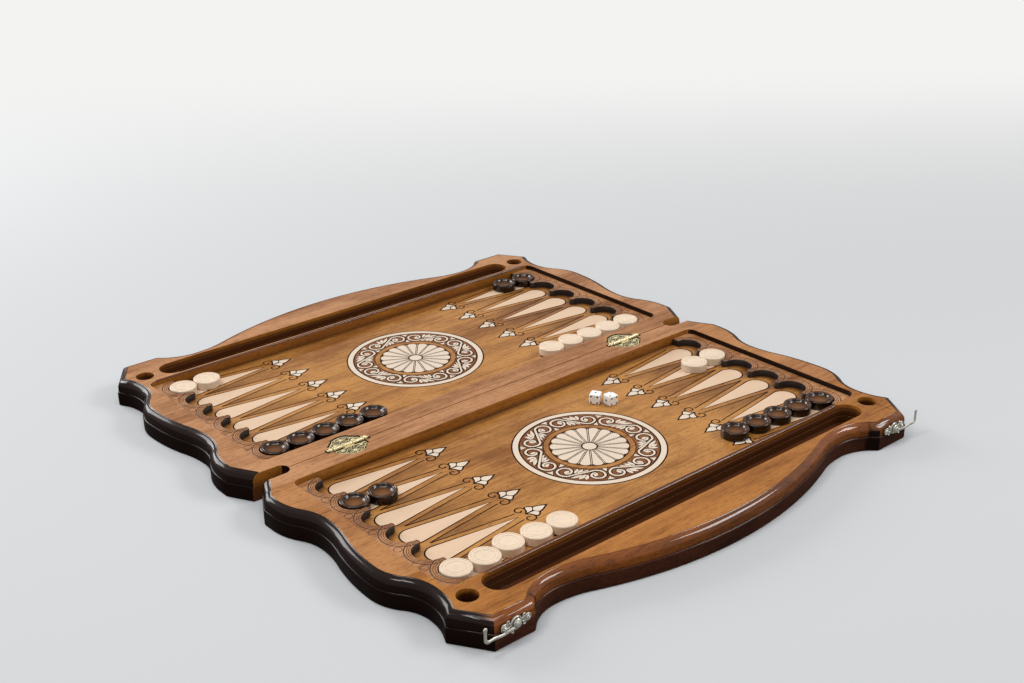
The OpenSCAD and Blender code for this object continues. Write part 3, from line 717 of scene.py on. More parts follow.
def ridge_shade(context):
    """Mask of painted shade on the front leaf's ridge between field and trough."""
    p = layout(context)

    def mask(tree, spot):
        parts = add(tree, "SeparateXYZ", (spot,)).outputs
        across = add(tree, "Math", (parts[1],), operation="ABSOLUTE")
        along = add(tree, "Math", (parts[0],), operation="ABSOLUTE")
        near, far = p.trough_s0 - 0.2 * MM, p.trough_s0 + 0.4 * MM
        inside = add(tree, "MapRange", (across, near, far, 0.9, 0.0), **SMOOTH)
        start, end = p.trough_x - 16 * MM, p.trough_x - 6 * MM
        middle = add(tree, "MapRange", (along, start, end, 1.0, 0.0), **SMOOTH)
        return add(tree, "Math", (inside, middle), operation="MULTIPLY")
    return mask


def field_wood(context):
    # Planed beech, stained and lacquered: warm gold with soft streaks, burnt darker where it is scorched, and
    # darkened by painted shade in the seats and along the walls
    f = context.scene.board_finishes
    return shared("lacquered stained beech field, planed", f.field, f.streak_and_shade, seed=4.1, roughness=0.32,
                  coat=0.4, contrast=0.85, grit=0.8, scorch=darker(f.streak_and_shade, 0.3))


def edge_wood(context, part, colour, gloss):
    # Moulded beech: red-brown long grain, and ends that soak the stain up until they look black
    f = context.scene.board_finishes
    return wood(f"lacquered beech {part} edge, moulded", colour, darker(colour, 0.35), seed=6.6,
                roughness=0.3, coat=gloss, side_coat=gloss, contrast=0.9, end=f.end_grain)


def trough_wood(context):
    # Routed beech: a golden lip, and painted shade that darkens the wood to nearly black lower in the trough
    # and wells
    f, p = context.scene.board_finishes, layout(context)
    return shared("lacquered beech trough, stained dark", f.wall, f.trough, seed=8.4, roughness=0.4, coat=0.2,
                  side_coat=0.3, shadow=depth_shade(p.rim_z - 6 * MM, p.rim_z - 1.5 * MM, 1.0))


def wall_wood(context):
    # Planed beech walls round the field: golden, with painted shade darkening them towards the foot, black on
    # end grain
    f, p = context.scene.board_finishes, layout(context)
    return wood("lacquered beech field wall, planed", f.wall, f.trough, seed=3.2, roughness=0.35, coat=0.3,
                side_coat=0.4, contrast=0.7, end=f.end_grain,
                shadow=depth_shade(p.base_z - 3 * MM, p.base_z + 7 * MM, 0.9))


def slot_wood(context):
    # Routed beech in the finger slots: golden long walls, with painted shade darkening them below the lip,
    # soaked black round the end
    f, p = context.scene.board_finishes, layout(context)
    return shared("lacquered beech finger slot, routed", f.wall, f.trough, seed=5.8, roughness=0.35, coat=0.4,
                  side_coat=0.6, contrast=0.7, end=f.end_grain,
                  shadow=depth_shade(p.base_z - 4 * MM, p.rim_z - 2 * MM, 0.9))


def ridge_wood(context):
    # Rounded beech ridge: dark brown, with a bright line along its edge
    f = context.scene.board_finishes
    return wood("lacquered beech ridge, rounded", f.trough, darker(f.trough, 0.3), seed=2.7, roughness=0.3,
                coat=1.0)


def pale_wood(part, colour, seed):
    # Maple let in and sanded flush: creamy and even, with hardly any grain
    return wood(f"{part}, sanded flush", colour, darker(colour, 0.86), seed, roughness=0.36, coat=0.35,
                contrast=0.5, grit=0.1)


def line_paint(name, colour):
    # Burnt or scored line: matt brown-black that takes no highlight
    return plain(name, colour, roughness=0.6, specular=0.05)


# Wooden leaves

class Base:
    """Shared settings of the board's operators."""
    bl_options = {"REGISTER", "UNDO"}


class BOARD_OT_base_boards(Base, bpy.types.Operator):
    """Base boards of both leaves with the moulded edge, troughs and wells"""
    bl_idname = "board.base_boards"
    bl_label = "Base Boards"

    def execute(self, context):
        b, f, p = context.scene.board_sizes, context.scene.board_finishes, layout(context)
        obj = plate("base_board", leaf_outline(context), 0, p.base_z)
        round_edges(obj, b.base_round, 4, lambda v, w: abs(v.z - w.z) < 1e-6)
        paint_level(obj, field_wood(context), edge_wood(context, "base", f.base_side, 0.4))
        keep(obj, (0, p.seam, 0), (0, 1, 0))
        cut(obj, *slot_tools(context), *well_tools(context),
            trough_tool(context, b.trough_step, b.trough_depth))
        shade(obj)
        for leaf, piece in both_leaves(obj, "base_board_wood").items():
            finished(piece, leaf + "_leaf", None, [leaf + "_base_board"])
        return {"FINISHED"}


def paint_level(obj, level, rest):
    """One finish for the faces that look straight up, another for the rest."""
    obj.data.materials.append(level)
    obj.data.materials.append(rest)
    for face in obj.data.polygons:
        face.material_index = 0 if face.normal.z > LEVEL else 1


def slot_tools(context):
    """Cutters of the two finger slots."""
    b, p = context.scene.board_sizes, layout(context)
    tools = []
    for side in HALVES.values():
        shape = arc((p.slot_x, 0), b.slot_r, 90, 270, 24)
        shape += [(p.half_l + CLEAR, -b.slot_r), (p.half_l + CLEAR, b.slot_r)]
        tools.append(plate("slot_tool", [(side * x, s) for x, s in shape], -CLEAR, p.rim_z + CLEAR))
        tools[-1].data.materials.append(slot_wood(context))
    return tools


def trough_tool(context, step, depth):
    """Cutter of the trough, drawn in by a step and down to a depth."""
    p = layout(context)
    half = (p.trough_s1 - p.trough_s0) / 2 - step
    tool = plate("trough_tool", rounded_box((0, p.trough_s), p.trough_x - step, half, half, 20),
                 p.rim_z - depth, p.rim_z + CLEAR)
    tool.data.materials.append(trough_wood(context))
    return tool


def ridge_tools(context):
    """Cutters that round the two long top edges of the ridge between field and trough."""
    b, p = context.scene.board_sizes, layout(context)
    polished = ridge_wood(context)
    r, clear = b.ridge_round, 1 * MM
    lying = Matrix(((0, 0, 1, 0), (1, 0, 0, 0), (0, 1, 0, 0), (0, 0, 0, 1)))
    tools = []
    for s, side, half in ((p.trough_s0, 1, p.trough_x - (p.trough_s1 - p.trough_s0) / 2),
                          (p.field_s1, -1, p.field_x - b.field_corner)):
        shape = [(s + side * x, p.rim_z - r + y) for x, y in arc((-r, 0), r, 90, 0, 6)]
        shape += [(s + side * clear, p.rim_z - r), (s + side * clear, p.rim_z + clear),
                  (s - side * r, p.rim_z + clear)]
        prism = plate("ridge_prism", shape, -half, half)
        tools.append(copied(prism, "ridge_tool", lying))
        bpy.data.objects.remove(prism)
        tools[-1].data.materials.append(polished)
    return tools


def well_tools(context):
    """Cutters of the two round wells."""
    b, p = context.scene.board_sizes, layout(context)
    tools = [plate("well_tool", ring((side * p.well_x, p.trough_s), b.well_d / 2, 64),
                   p.rim_z - b.well_depth, p.rim_z + CLEAR) for side in HALVES.values()]
    for tool in tools:
        tool.data.materials.append(trough_wood(context))
    return tools


class BOARD_OT_rails(Base, bpy.types.Operator):
    """Rims of both leaves: hinge rail, outer rail and two end rails each"""
    bl_idname = "board.rails"
    bl_label = "Rails"

    def execute(self, context):
        f, p = context.scene.board_finishes, layout(context)
        # Stands in on the level faces until each plank gets its own wood
        blank = plain("rim blank", f.rim, roughness=0.5)
        rim = self.one_rim(context, blank)
        glue_s = p.field_s0 + FIT / 2
        spans = {"hinge_rail": (None, glue_s), "end_rail": (glue_s, p.plank_s),
                 "outer_rail": (p.plank_s, None)}
        seed = 1.3
        for name, (low, high) in spans.items():
            plank = copied(rim, name)
            if low is not None:
                keep(plank, (0, low, 0), (0, 1, 0))
            if high is not None:
                keep(plank, (0, high, 0), (0, -1, 0))
            sides = {"left_": -1, "right_": 1} if name == "end_rail" else {"": 0}
            for half, sign in sides.items():
                part = copied(plank, half + name)
                if sign:
                    keep(part, (0, 0, 0), (sign, 0, 0))
                shade(part)
                for leaf, piece in both_leaves(part, half + name + "_wood").items():
                    seed += 1.7
                    repaint(piece, blank, self.plank_wood(context, leaf, name, seed))
                    finished(piece, leaf + "_leaf", None, [f"{leaf}_{half}{name}"])
            bpy.data.objects.remove(plank)
        bpy.data.objects.remove(rim)
        return {"FINISHED"}

    def one_rim(self, context, blank):
        """Rim of a leaf in one piece: rounded edge with a small step, openings cut, inner edges broken."""
        b, f, p = context.scene.board_sizes, context.scene.board_finishes, layout(context)
        foot = p.rim_z - p.base_z - b.quirk_h - b.edge_rise
        turns = [math.radians(9 * i) for i in range(11)]
        steps = [(b.edge_round * (math.cos(u) - math.cos(v)), b.edge_rise * (math.sin(v) - math.sin(u)))
                 for u, v in zip(turns, turns[1:])]
        steps += [(b.quirk_w, 0), (b.quirk_lean, b.quirk_h)]
        rim = moulded("rim", inset(leaf_outline(context), b.ovolo_in), p.base_z, foot, steps)
        rim.data.materials.append(blank)
        rim.data.materials.append(edge_wood(context, "rim", f.side_grain, 1.0))
        keep(rim, (0, p.seam, 0), (0, 1, 0))
        opening = rounded_box((0, p.field_s), p.field_x, (p.field_s1 - p.field_s0) / 2, b.field_corner)
        field = plate("field_tool", opening, p.base_z - CLEAR, p.rim_z + CLEAR)
        field.data.materials.append(wall_wood(context))
        cut(rim, field, *slot_tools(context), *well_tools(context), *mortise_tools(context),
            trough_tool(context, 0, b.trough_step_depth), trough_tool(context, b.trough_step, b.trough_depth))
        soften(rim, b.small_round)
        cut(rim, *ridge_tools(context))
        return rim

    def plank_wood(self, context, leaf, name, seed):
        # Planed beech under lacquer: warm brown with soft streaks. The leaves differ only by painted light:
        # the rear's rails keep the lighter rim colour as a painted sheen, the front's outer rail takes the
        # deeper outer rim colour and its end rails half of it, and the front ridge gets painted shade
        f = context.scene.board_finishes
        halfway = tuple((near + far) / 2 for near, far in zip(f.rim, f.outer_rim))
        front = {"hinge_rail": f.rim, "end_rail": halfway, "outer_rail": f.outer_rim}
        deep = leaf == "front" and name == "outer_rail"
        colour = front[name] if leaf == "front" else f.rim
        return wood("lacquered stained beech rim, planed", colour, f.streak_and_shade, seed, roughness=0.36, coat=0.3,
                    contrast=0.8, grit=0.7, shadow=ridge_shade(context) if deep else None)


def repaint(obj, old, new):
    """Puts a new material in the place of an old one."""
    for i, material in enumerate(list(obj.data.materials)):
        if material == old:
            obj.data.materials[i] = new


def hinge_outline(half, reach):
    """Scalloped outline of a hinge plate: along the pin from its middle, and away from the pin."""
    right = [(half, 2.9 * MM), (half, 8.6 * MM), (13.4 * MM, 12.0 * MM), (9.4 * MM, 15.8 * MM)]
    left = [(-x, y) for x, y in reversed(right)]
    hollow = -0.8 * MM
    return ([left[-1], right[0]] + bulged(right[1], right[2], hollow) + bulged(right[2], right[3], hollow)
            + bulged(right[3], left[0], reach - right[3][1], 14) + bulged(left[0], left[1], hollow)
            + bulged(left[1], left[2], hollow) + [left[2]])


def mortise_tools(context):
    """Cutters of the hinge mortises and of the grooves for the barrels."""
    f, p = context.scene.board_finishes, layout(context)
    low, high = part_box("right_hinge_rear_leaf")
    pin_low, pin_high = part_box("right_hinge_pin")
    axis = (pin_low + pin_high) / 2
    room, groove_r = 0.8 * MM, 2.9 * MM
    half = (high.x - low.x) / 2
    shape = [(-half - room, -CLEAR), (half + room, -CLEAR)]
    shape += inset(hinge_outline(half, high.y), -room)[2:]
    # Painted shade: the chopped wood in the hinges' shadow is painted nearly black, without any shine
    dark = plain("chopped beech mortise, left raw", f.mortise, roughness=0.8)
    tools = []
    for side in HALVES.values():
        outline = anticlockwise([(side * (axis.x + x), y) for x, y in shape])
        tools.append(plate("mortise_tool", outline, low.z, p.rim_z + CLEAR))
        x0, x1 = sorted((side * (pin_low.x - room), side * (pin_high.x + room)))
        groove = plate("groove_tool", ring((0, 0), groove_r, 32), x0, x1)
        groove.data.transform(Matrix.Translation((0, 0, axis.z)) @ Matrix.Rotation(math.pi / 2, 4, "Y"))
        tools.append(groove)
    for tool in tools:
        tool.data.materials.append(dark)
    return tools


# Radius in millimetres of the grooves round a seat, and their share of the groove's width
SEAT_GROOVES = ((17.0, 0.5), (19.0, 0.5), (21.4, 0.9))


class BOARD_OT_ledges(Base, bpy.types.Operator):
    """Scalloped ledges with half-moon seats and the grooves round them"""
    bl_idname = "board.ledges"
    bl_label = "Ledges"

    def execute(self, context):
        b, f, p = context.scene.board_sizes, context.scene.board_finishes, layout(context)
        obj = plate("ledge", self.outline(b, p), p.base_z, p.ledge_z)
        round_edges(obj, b.ledge_round, 3, lambda v, w: min(v.z, w.z) > p.ledge_z - 1e-6)
        # Stands in on the level faces until each ledge gets its own wood
        blank = plain("ledge blank", f.rim, roughness=0.5)
        # Scorched end grain in the seats: black, with a faint sheen on the curve
        scorched = plain("seat wall, burnt black", f.end_grain, roughness=0.5, coat=0.25)
        paint_level(obj, blank, scorched)
        cut(obj, *self.groove_tools(b, f, p))
        shade(obj)
        seed = 31.0
        for half, sign in HALVES.items():
            part = copied(obj, "ledge", mirror(sign, 1))
            for leaf, piece in both_leaves(part, half + "_ledge_wood").items():
                seed += 2.3
                # Carved beech under lacquer: warm brown with streaks, like the rim
                carved = wood("lacquered stained beech ledge, carved", f.rim, f.streak_and_shade, seed,
                              roughness=0.34, coat=0.35, contrast=0.9)
                repaint(piece, blank, carved)
                finished(piece, leaf + "_leaf", None, [f"{leaf}_{half}_ledge"])
        bpy.data.objects.remove(obj)
        return {"FINISHED"}

    def outline(self, b, p):
        """Right ledge: round corners at the wall, seats and round noses between them towards the field."""
        nose_r = p.pitch / 2 - b.seat_r + FIT
        outer_x, corner = p.field_x - FIT, b.field_corner
        low_s, high_s = p.field_s0 + FIT, p.field_s1 - FIT
        points = [(p.seat_x, low_s)]
        points += arc((outer_x - corner, low_s + corner), corner, -90, 0, 12)
        points += arc((outer_x - corner, high_s - corner), corner, 0, 90, 12)
        points += [(p.seat_x, high_s)]
        for i, row in reversed(list(enumerate(p.rows))):
            points += arc((p.seat_x, row), b.seat_r, 90, -90, 32)
            if i:
                points += arc((p.seat_x, row - p.pitch / 2), nose_r, 90, 270, 12)[1:-1]
        return thinned(points)

    def groove_tools(self, b, f, p):
        """Cutters of the grooves round the seats and of the small rings between them."""
        ring_out, ring_r, ring_share = 19 * MM, 3.7 * MM, 0.55
        # The cuts are coloured dark brown and read as soft dark lines
        dark_cut = plain("carved groove, wax settled dark", f.groove, roughness=0.5)
        tools = []
        for row in p.rows:
            for r, width in SEAT_GROOVES:
                tools.append(groove_ring((p.seat_x, row, p.ledge_z), r * MM, width * b.groove_w))
        for row in p.rows[:-1]:
            spot = (p.seat_x + ring_out, row + p.pitch / 2, p.ledge_z)
            tools.append(groove_ring(spot, ring_r, ring_share * b.groove_w))
        for tool in tools:
            tool.data.materials.append(dark_cut)
        return tools


def groove_ring(centre, r, width):
    """Ring-shaped cutter for a round groove."""
    bpy.ops.object.select_all(action="DESELECT")
    bpy.ops.mesh.primitive_torus_add(major_radius=r, minor_radius=width / 2, major_segments=72,
                                     minor_segments=8, location=centre)
    obj = bpy.context.object
    settle(obj)
    return obj


# Ornament

def inset(points, by):
    """Closed anticlockwise outline moved inwards by one distance all round."""
    sharpest = 0.35  # keeps the points of sharp corners from running far away
    moved = []
    for i, point in enumerate(points):
        before, after = points[i - 1], points[(i + 1) % len(points)]
        u = (Vector(point) - Vector(before)).normalized()
        v = (Vector(after) - Vector(point)).normalized()
        u, v = Vector((-u.y, u.x)), Vector((-v.y, v.x))
        move = (u + v) * (by / max(sharpest, 1 + u.dot(v)))
        moved.append((point[0] + move.x, point[1] + move.y))
    return moved


def anticlockwise(points):
    """Outline turned so that it runs anticlockwise."""
    area = sum(points[i - 1][0] * q[1] - q[0] * points[i - 1][1] for i, q in enumerate(points))
    return points if area > 0 else points[::-1]


def inlays(name, outlines, low, high):
    """One object of several thin plates."""
    return join(name, [plate(name, anticlockwise(points), low, high) for points in outlines])


def teardrop(p, grow):
    """Point of a row on the right half, round end outwards."""
    reach = p.point_x - p.tip_x
    opening = math.degrees(math.acos(p.point_r / reach))
    tip = p.tip_x - min(grow / math.cos(math.radians(opening)), 2.5 * grow)
    return arc((p.point_x, 0), p.point_r + grow, -180 + opening, 180 - opening, 48) + [(tip, 0)]


def placed(points, row):
    """Outline moved to a row."""
    return [(x, row + y) for x, y in points]


# Outlines of a finial in millimetres: distance from the point's tip, and from its axis
LOBE = ((12.3, 0.6), (14.2, 2.2), (15.5, 4.5), (16.4, 7.2), (17.6, 8.8), (20.2, 8.0), (23, 5.2), (21.4, 2.4),
        (19.3, 0.6))
SPEAR = ((20, 0), (21.5, 2.6), (23.6, 4.6), (28, 3.6), (34.6, 0), (28, -3.6), (23.6, -4.6), (21.5, -2.6))


class BOARD_OT_points(Base, bpy.types.Operator):
    """Teardrop points and arrowhead finials with their burnt lines"""
    bl_idname = "board.points"
    bl_label = "Points and Finials"

    def execute(self, context):
        o, f, p = context.scene.ornament_sizes, context.scene.board_finishes, layout(context)
        low, high = p.base_z - o.inlay_sunk, p.base_z + o.inlay_proud
        shapes = [anticlockwise([(p.tip_x - a * MM, side * v * MM) for a, v in shape])
                  for shape, side in ((LOBE, 1), (LOBE, -1), (SPEAR, 1))]
        lines = []
        for side in (1, -1):
            lines.append([(p.tip_x - a * MM, side * v * MM) for a, v in spiral(o.scroll_r / MM)])
            lines.append([(x, side * s) for x, s in self.wedge(o, p)])
        drops = inlays("points", [placed(teardrop(p, 0), row) for row in p.rows], low, high)
        finials = inlays("finials", [placed(inset(shape, o.lobe_gap / 2), row)
                                     for row in p.rows for shape in shapes], low, high)
        beds = [placed(teardrop(p, o.line_w), row) for row in p.rows]
        beds += [placed(inset(shape, -0.85 * o.line_w), row) for row in p.rows for shape in shapes]
        drawn = ribbon("lines", [placed(line, row) for row in p.rows for line in lines], o.line_w,
                       p.base_z, o.line_proud)
        burnt = join("burnt_lines", [inlays("beds", beds, low, p.base_z + o.line_proud), drawn])
        # Burnt wedges between the points, with painted shade in the seats and along the walls
        scorched = self.scorching(context, o, p)
        pale = pale_wood("pale maple inlay", f.pale, 7.7)
        white = pale_wood("white maple finial", f.rosette, 1.3)
        black = line_paint("burnt line in lacquered wood", f.burnt)
        parts = ((drops, "points_inlay", pale, "pale_inlay", ["points"]),
                 (finials, "finials_inlay", white, "pale_inlay", ["finials"]),
                 (burnt, "point_lines", black, "field_board", []),
                 (scorched, "scorching", field_wood(context), "field_board", []))
        for half, sign in HALVES.items():
            for part, name, material, slot, nodes in parts:
                made = copied(part, name, mirror(sign, 1))
                for leaf, piece in both_leaves(made, f"{half}_{name}").items():
                    finished(piece, leaf + "_leaf", material, [f"{leaf}_{half}_{n}" for n in nodes])
        for part in (drops, finials, burnt, scorched):
            bpy.data.objects.remove(part)
        return {"FINISHED"}

    def wedge(self, o, p):
        """Second line beside a point, from the seats to past the tip: along the axis, and away from it."""
        return [(p.seat_x - o.wedge_root, p.pitch / 2),
                (p.point_x - o.wedge_knee, p.pitch / 2 - o.wedge_slim), (p.tip_x - o.wedge_end, o.band_out)]

    def scorching(self, context, o, p):
        """Scorched wedges between the points, and painted shade: half-moons in the seats and strips along the
        walls.
        """
        b = context.scene.board_sizes
        z = p.base_z + o.scorch_and_shade_proud
        root, knee, end = self.wedge(o, p)
        halfway = ((p.point_x + p.tip_x) / 2, (knee[1] + end[1]) / 2)
        line = [(root[0], root[1] - FIT), knee, halfway, end]
        parts = []
        for row in p.rows[:-1]:
            far_line = [(x, p.pitch - s) for x, s in line]
            parts.append(band("wedge", placed(line, row), placed(far_line, row), z, [0.6, 0.5, 0.4, 0.0] * 2))
        # Painted shade: half-moons on the field at the foot of each seat's wall, darkest at the wall
        steps, clean_in, clean_r = 20, 3 * MM, 9 * MM
        for row in p.rows:
            clean = arc((p.seat_x - clean_in, row), clean_r, -90, 90, steps)
            wall = arc((p.seat_x, row), b.seat_r, -90, 90, steps)
            parts.append(band("seat", clean, wall, z, [0.0] * (steps + 1) + [0.95] * (steps + 1)))
        # Painted shade: strips along the field's walls, darkest at the wall
        for wall, way in ((p.field_s0, 1), (p.field_s1, -1)):
            dark, clean = ([(x, s) for x in (0, p.field_x)] for s in (wall, wall + way * o.wall_shade_w))
            parts.append(band("wall", dark, clean, z - o.scorch_and_shade_proud / 2, [0.75, 0.75, 0, 0]))
        return join("scorching", parts)


def band(name, first, second, z, depths):
    """Level strip between two lines of points, darkened by a depth at each point, as scorch or as painted
    shade.
    """
    bpy.ops.object.select_all(action="DESELECT")
    bpy.ops.mesh.primitive_grid_add(x_subdivisions=len(first) - 1, y_subdivisions=1)
    obj = bpy.context.object
    obj.name = name
    layer = obj.data.attributes.new("scorch", "FLOAT", "POINT")
    for i, (x, y) in enumerate(list(first) + list(second)):
        obj.data.vertices[i].co = (x, y, z)
        layer.data[i].value = depths[i]
    face_out(obj)
    return obj


def spiral(r):
    """Scroll beside a finial: distance from the point's tip and from its axis, in millimetres."""
    eye, start_r, end_cut = (9.9, 7.6), 7.1, 1.6
    path = []
    for i in range(41):
        angle = -81 + 411 * i / 40
        size = start_r + (r - start_r) * min(1, (angle + 81) / 81)
        size -= (r - end_cut) * max(0, (angle - 30) / 300)
        path.append(around(eye, size, math.radians(angle)))
    return path


# Outlines between two scrolls in millimetres: along the scroll circle, and outwards from it
DARTS = (((-3.4, 10.4), (3.4, 10.4), (1.2, 7.6), (0, 4.6), (-1.2, 7.6)),
         ((-3.0, -10.6), (0, -4.6), (3.0, -10.6)))

# Heights of the rosette's layers over the field in millimetres; each hides what lies under it
LAYERS = {"bed": 0.02, "ground": 0.04, "fan_bed": 0.05, "lines": 0.06, "leaf_lines": 0.07, "inlay": 0.08,
          "fan": 0.1}


class BOARD_OT_rosettes(Base, bpy.types.Operator):
    """Scroll rosettes with a fan wheel in the middle of both fields"""
    bl_idname = "board.rosettes"
    bl_label = "Rosettes"

    def execute(self, context):
        o, f, p = context.scene.ornament_sizes, context.scene.board_finishes, layout(context)
        centre, low = (0, p.field_s), p.base_z - o.inlay_sunk
        level = {layer: p.base_z + mm * MM for layer, mm in LAYERS.items()}
        ring_out = p.rosette_r - o.ring_edge
        ring_in = ring_out - o.ring_w
        gap_out = p.fan_r + o.gap_w
        bed = plate("rosette_bed", ring(centre, p.rosette_r, 160), low, level["bed"])
        border = hoop("rosette_border", centre, ring_in, ring_out, low, level["inlay"])
        ground = hoop("rosette_ground", centre, gap_out, ring_in - o.line_w, low, level["ground"])
        gap = hoop("rosette_gap", centre, p.fan_r + o.fan_line_w, gap_out - o.gap_line_w, low,
                   level["ground"])
        stems, leaves = self.scrolls(o, p)
        dark_stems = ribbon("dark_stems", stems, o.stem_bed_w, level["ground"], 0.05 * MM)
        dark_leaves = inlays("dark_leaves", [inset(anticlockwise(leaf), -o.leaf_line_w) for leaf in leaves],
                             low, level["leaf_lines"])
        pale_leaves = inlays("pale_leaves", leaves, low, level["inlay"])
        stem_lines = ribbon("stem_lines", stems, o.stem_line_w, level["lines"], 0.06 * MM)
        pale_stems = ribbon("pale_stems", stems, o.stem_w, level["inlay"], 0.10 * MM)
        fan, fan_bed = self.fan(o, p, centre, level, low)
        inlay = join("rosette_inlay", [border, pale_stems, pale_leaves])
        lines = join("rosette_lines", [bed, dark_stems, dark_leaves, stem_lines])
        pale = pale_wood("pale maple rosette", f.rosette, 9.2)
        black = line_paint("burnt rosette line in lacquered wood", f.burnt)
        # Sanded with the scrolls: an even brown that lets the pale leaves stand out
        stained = wood("stained rosette ground, sanded flush", f.ground, f.streak_and_shade, seed=12.0, roughness=0.36,
                       coat=0.35, contrast=0.9)
        scored = line_paint("scored line in lacquered wood", f.groove)
        parts = {
            "rosette_inlay": (inlay, pale, ["rosette_ring"]),
            "rosette_ground": (ground, stained, []),
            "rosette_gap": (gap, field_wood(context), []),
            "rosette_lines": (lines, black, []),
            "fan_lines": (fan_bed, scored, []),
            "fan_inlay": (fan, pale, ["rosette_fan"]),
        }
        for name, (part, material, nodes) in parts.items():
            for leaf, piece in both_leaves(part, name).items():
                finished(piece, leaf + "_leaf", material, [f"{leaf}_{n}" for n in nodes])
        return {"FINISHED"}

    def scrolls(self, o, p):
        """Stems and leaves of the running scroll, every second unit turned over."""
        stems, leaves = [], []
        step = 360 / o.scroll_units
        for i in range(o.scroll_units):
            middle = 90 + i * step
            flip = -1 if i % 2 else 1
            stems.append([polar(p, o, x, flip * y, middle) for x, y in scroll_stem(o.scroll_size / MM)])
            for leaf in scroll_leaves():
                leaves.append([polar(p, o, x, flip * y, middle) for x, y in leaf])
            for dart in DARTS:
                leaves.append([polar(p, o, x, y, middle + step / 2) for x, y in dart])
        return stems, leaves

    def fan(self, o, p, centre, level, low):
        """Pale petals with a hub and strips between them, and the scored disc they lie on."""
        r0, r1 = o.hub_r + 1.6 * MM, p.fan_r - 0.6 * MM
        gap, round_off, strip_in, strip_w = 1.15 * MM, 3.0 * MM, 1.5 * MM, 0.8 * MM
        half = math.pi / o.petals
        petals, strips = [], []
        for i in range(o.petals):
            middle = math.tau * i / o.petals
            outline = []
            for t in range(13):
                part = -1 + t / 6
                reach = r1 - round_off * (1 - math.sqrt(max(0, 1 - part * part)))
                outline.append(around(centre, reach, middle + part * (half - gap / reach)))
            for part in (1, 0.5, 0, -0.5, -1):
                outline.append(around(centre, r0, middle + part * (half - gap / r0)))
            petals.append(outline)
            edge = middle + half
            strips.append([around(centre, r0, edge), around(centre, r1 - strip_in, edge)])
        hub = plate("hub", ring(centre, o.hub_r, 48), low, level["fan"])
        pale = join("fan", [inlays("petals", petals, low, level["fan"]), hub,
                            ribbon("strips", strips, strip_w, level["lines"], 0.05 * MM)])
        bed = plate("fan_bed", ring(centre, p.fan_r + FIT, 96), low, level["fan_bed"])
        return pale, bed


def polar(p, o, x, y, middle):
    """Place on the rosette: millimetres along the scroll circle from a middle angle, and outwards from it."""
    r = o.scroll_place + y * MM
    return around((0, p.field_s), r, math.radians(middle) - x * MM / o.scroll_place)


def hoop(name, centre, r0, r1, low, high):
    """Flat ring."""
    obj = plate(name, ring(centre, r1, 160), low, high)
    cut(obj, plate("hole", ring(centre, r0, 160), low - MM, high + MM))
    return obj


def scroll_stem(size):
    """Stem that curls round the inner side of one circle and the outer side of the next, in millimetres."""
    apart = 14.9
    left, right = [], []
    for i in range(31):
        part = i / 30
        angle = math.radians(300 - 380 * part)
        r = size * (1 - 0.62 * part * part)
        left.append((-apart + r * math.cos(angle), r * math.sin(angle)))
        right.append((apart - r * math.cos(angle), -r * math.sin(angle)))
    return left[::-1] + right


def scroll_leaves():
    """Leaf lobes that grow from the scrolls into the corners beside the stem."""
    leaves = []
    for sign in (1, -1):
        for root, tip, width in (((-6.0, 0.6), (-5.4, 9.8), 3.8), ((-4.6, 0.2), (0.6, 9.8), 4.2),
                                 ((-1.6, 1.2), (7.2, 9.6), 3.4), ((-14.6, -3.0), (-13.0, 3.4), 4.4)):
            leaves.append([(sign * x, sign * y) for x, y in leaf_shape(root, tip, width)])
    return leaves


def leaf_shape(root, tip, width):
    """Pointed leaf between two places."""
    a, b = Vector(root), Vector(tip)
    along = b - a
    across = Vector((-along.y, along.x)).normalized() * (width / 2)
    swell = [(0.0, 0.3), (0.18, 0.8), (0.4, 1.0), (0.65, 0.85), (0.85, 0.45), (1.0, 0.05)]
    up = [a + along * t + across * w for t, w in swell]
    down = [a + along * t - across * w for t, w in reversed(swell)]
    return [(q.x, q.y) for q in up + down]


# Loose pieces

CHECKERS = [f"{leaf}_{half}_{shade_name}_checkers" for leaf in LEAVES for half in HALVES
            for shade_name in ("dark", "light")]

# Tops of the checkers in millimetres: radius, or distance in from the side for the grooves, and drop
DISH = ((12.6, 0.05), (12.2, 0.45), (11.8, 0.5), (11.5, 0.35), (11.2, 0.2), (10.8, 0.2), (10.5, 0.4),
        (10.2, 0.8), (9.7, 1.5), (9.0, 2.2), (8.0, 2.8), (6.6, 3.3), (5.0, 3.6), (3.0, 3.75), (0, 3.8))
GROOVES = ((2.2, 0), (2.4, 0.35), (2.9, 0.35), (3.1, 0.1), (5.2, 0.25), (5.4, 0.6), (5.9, 0.6), (6.1, 0.3))
EYE = ((2.2, 0.45), (2.0, 0.7), (1.6, 0.7), (1.4, 0.45), (0, 0.45))

# Radius in millimetres on a dark checker and how black it is there: pale bowl, step, brown rim, side
BURNING = ((0, 0.1), (4, 0.2), (8, 0.6), (9.8, 1.0), (10.7, 1.0), (11.3, 0.6), (13.0, 0.6), (13.8, 1.0),
           (20, 1.0))


def disc_centres(node):
    """Places of the single checkers of one row in the frame."""
    size = checker_size()[0]
    low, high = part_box(node)
    number = round((high.x - low.x) / (size + 0.5 * MM))
    pitch = (high.x - low.x - size) / (number - 1)
    mesh = bpy.data.objects[node].data
    places = []
    for i in range(number):
        x = low.x + size / 2 + i * pitch
        ys = [v.co.y for v in mesh.vertices if abs(v.co.x - x) < size / 3]
        places.append(Vector((x, (min(ys) + max(ys)) / 2, low.z)))
    return places


def burning(r):
    """How black a dark checker is at a radius."""
    for (r0, low), (r1, high) in zip(BURNING, BURNING[1:]):
        if r <= r1 * MM:
            return low + (high - low) * (r - r0 * MM) / ((r1 - r0) * MM)
    return 1.0


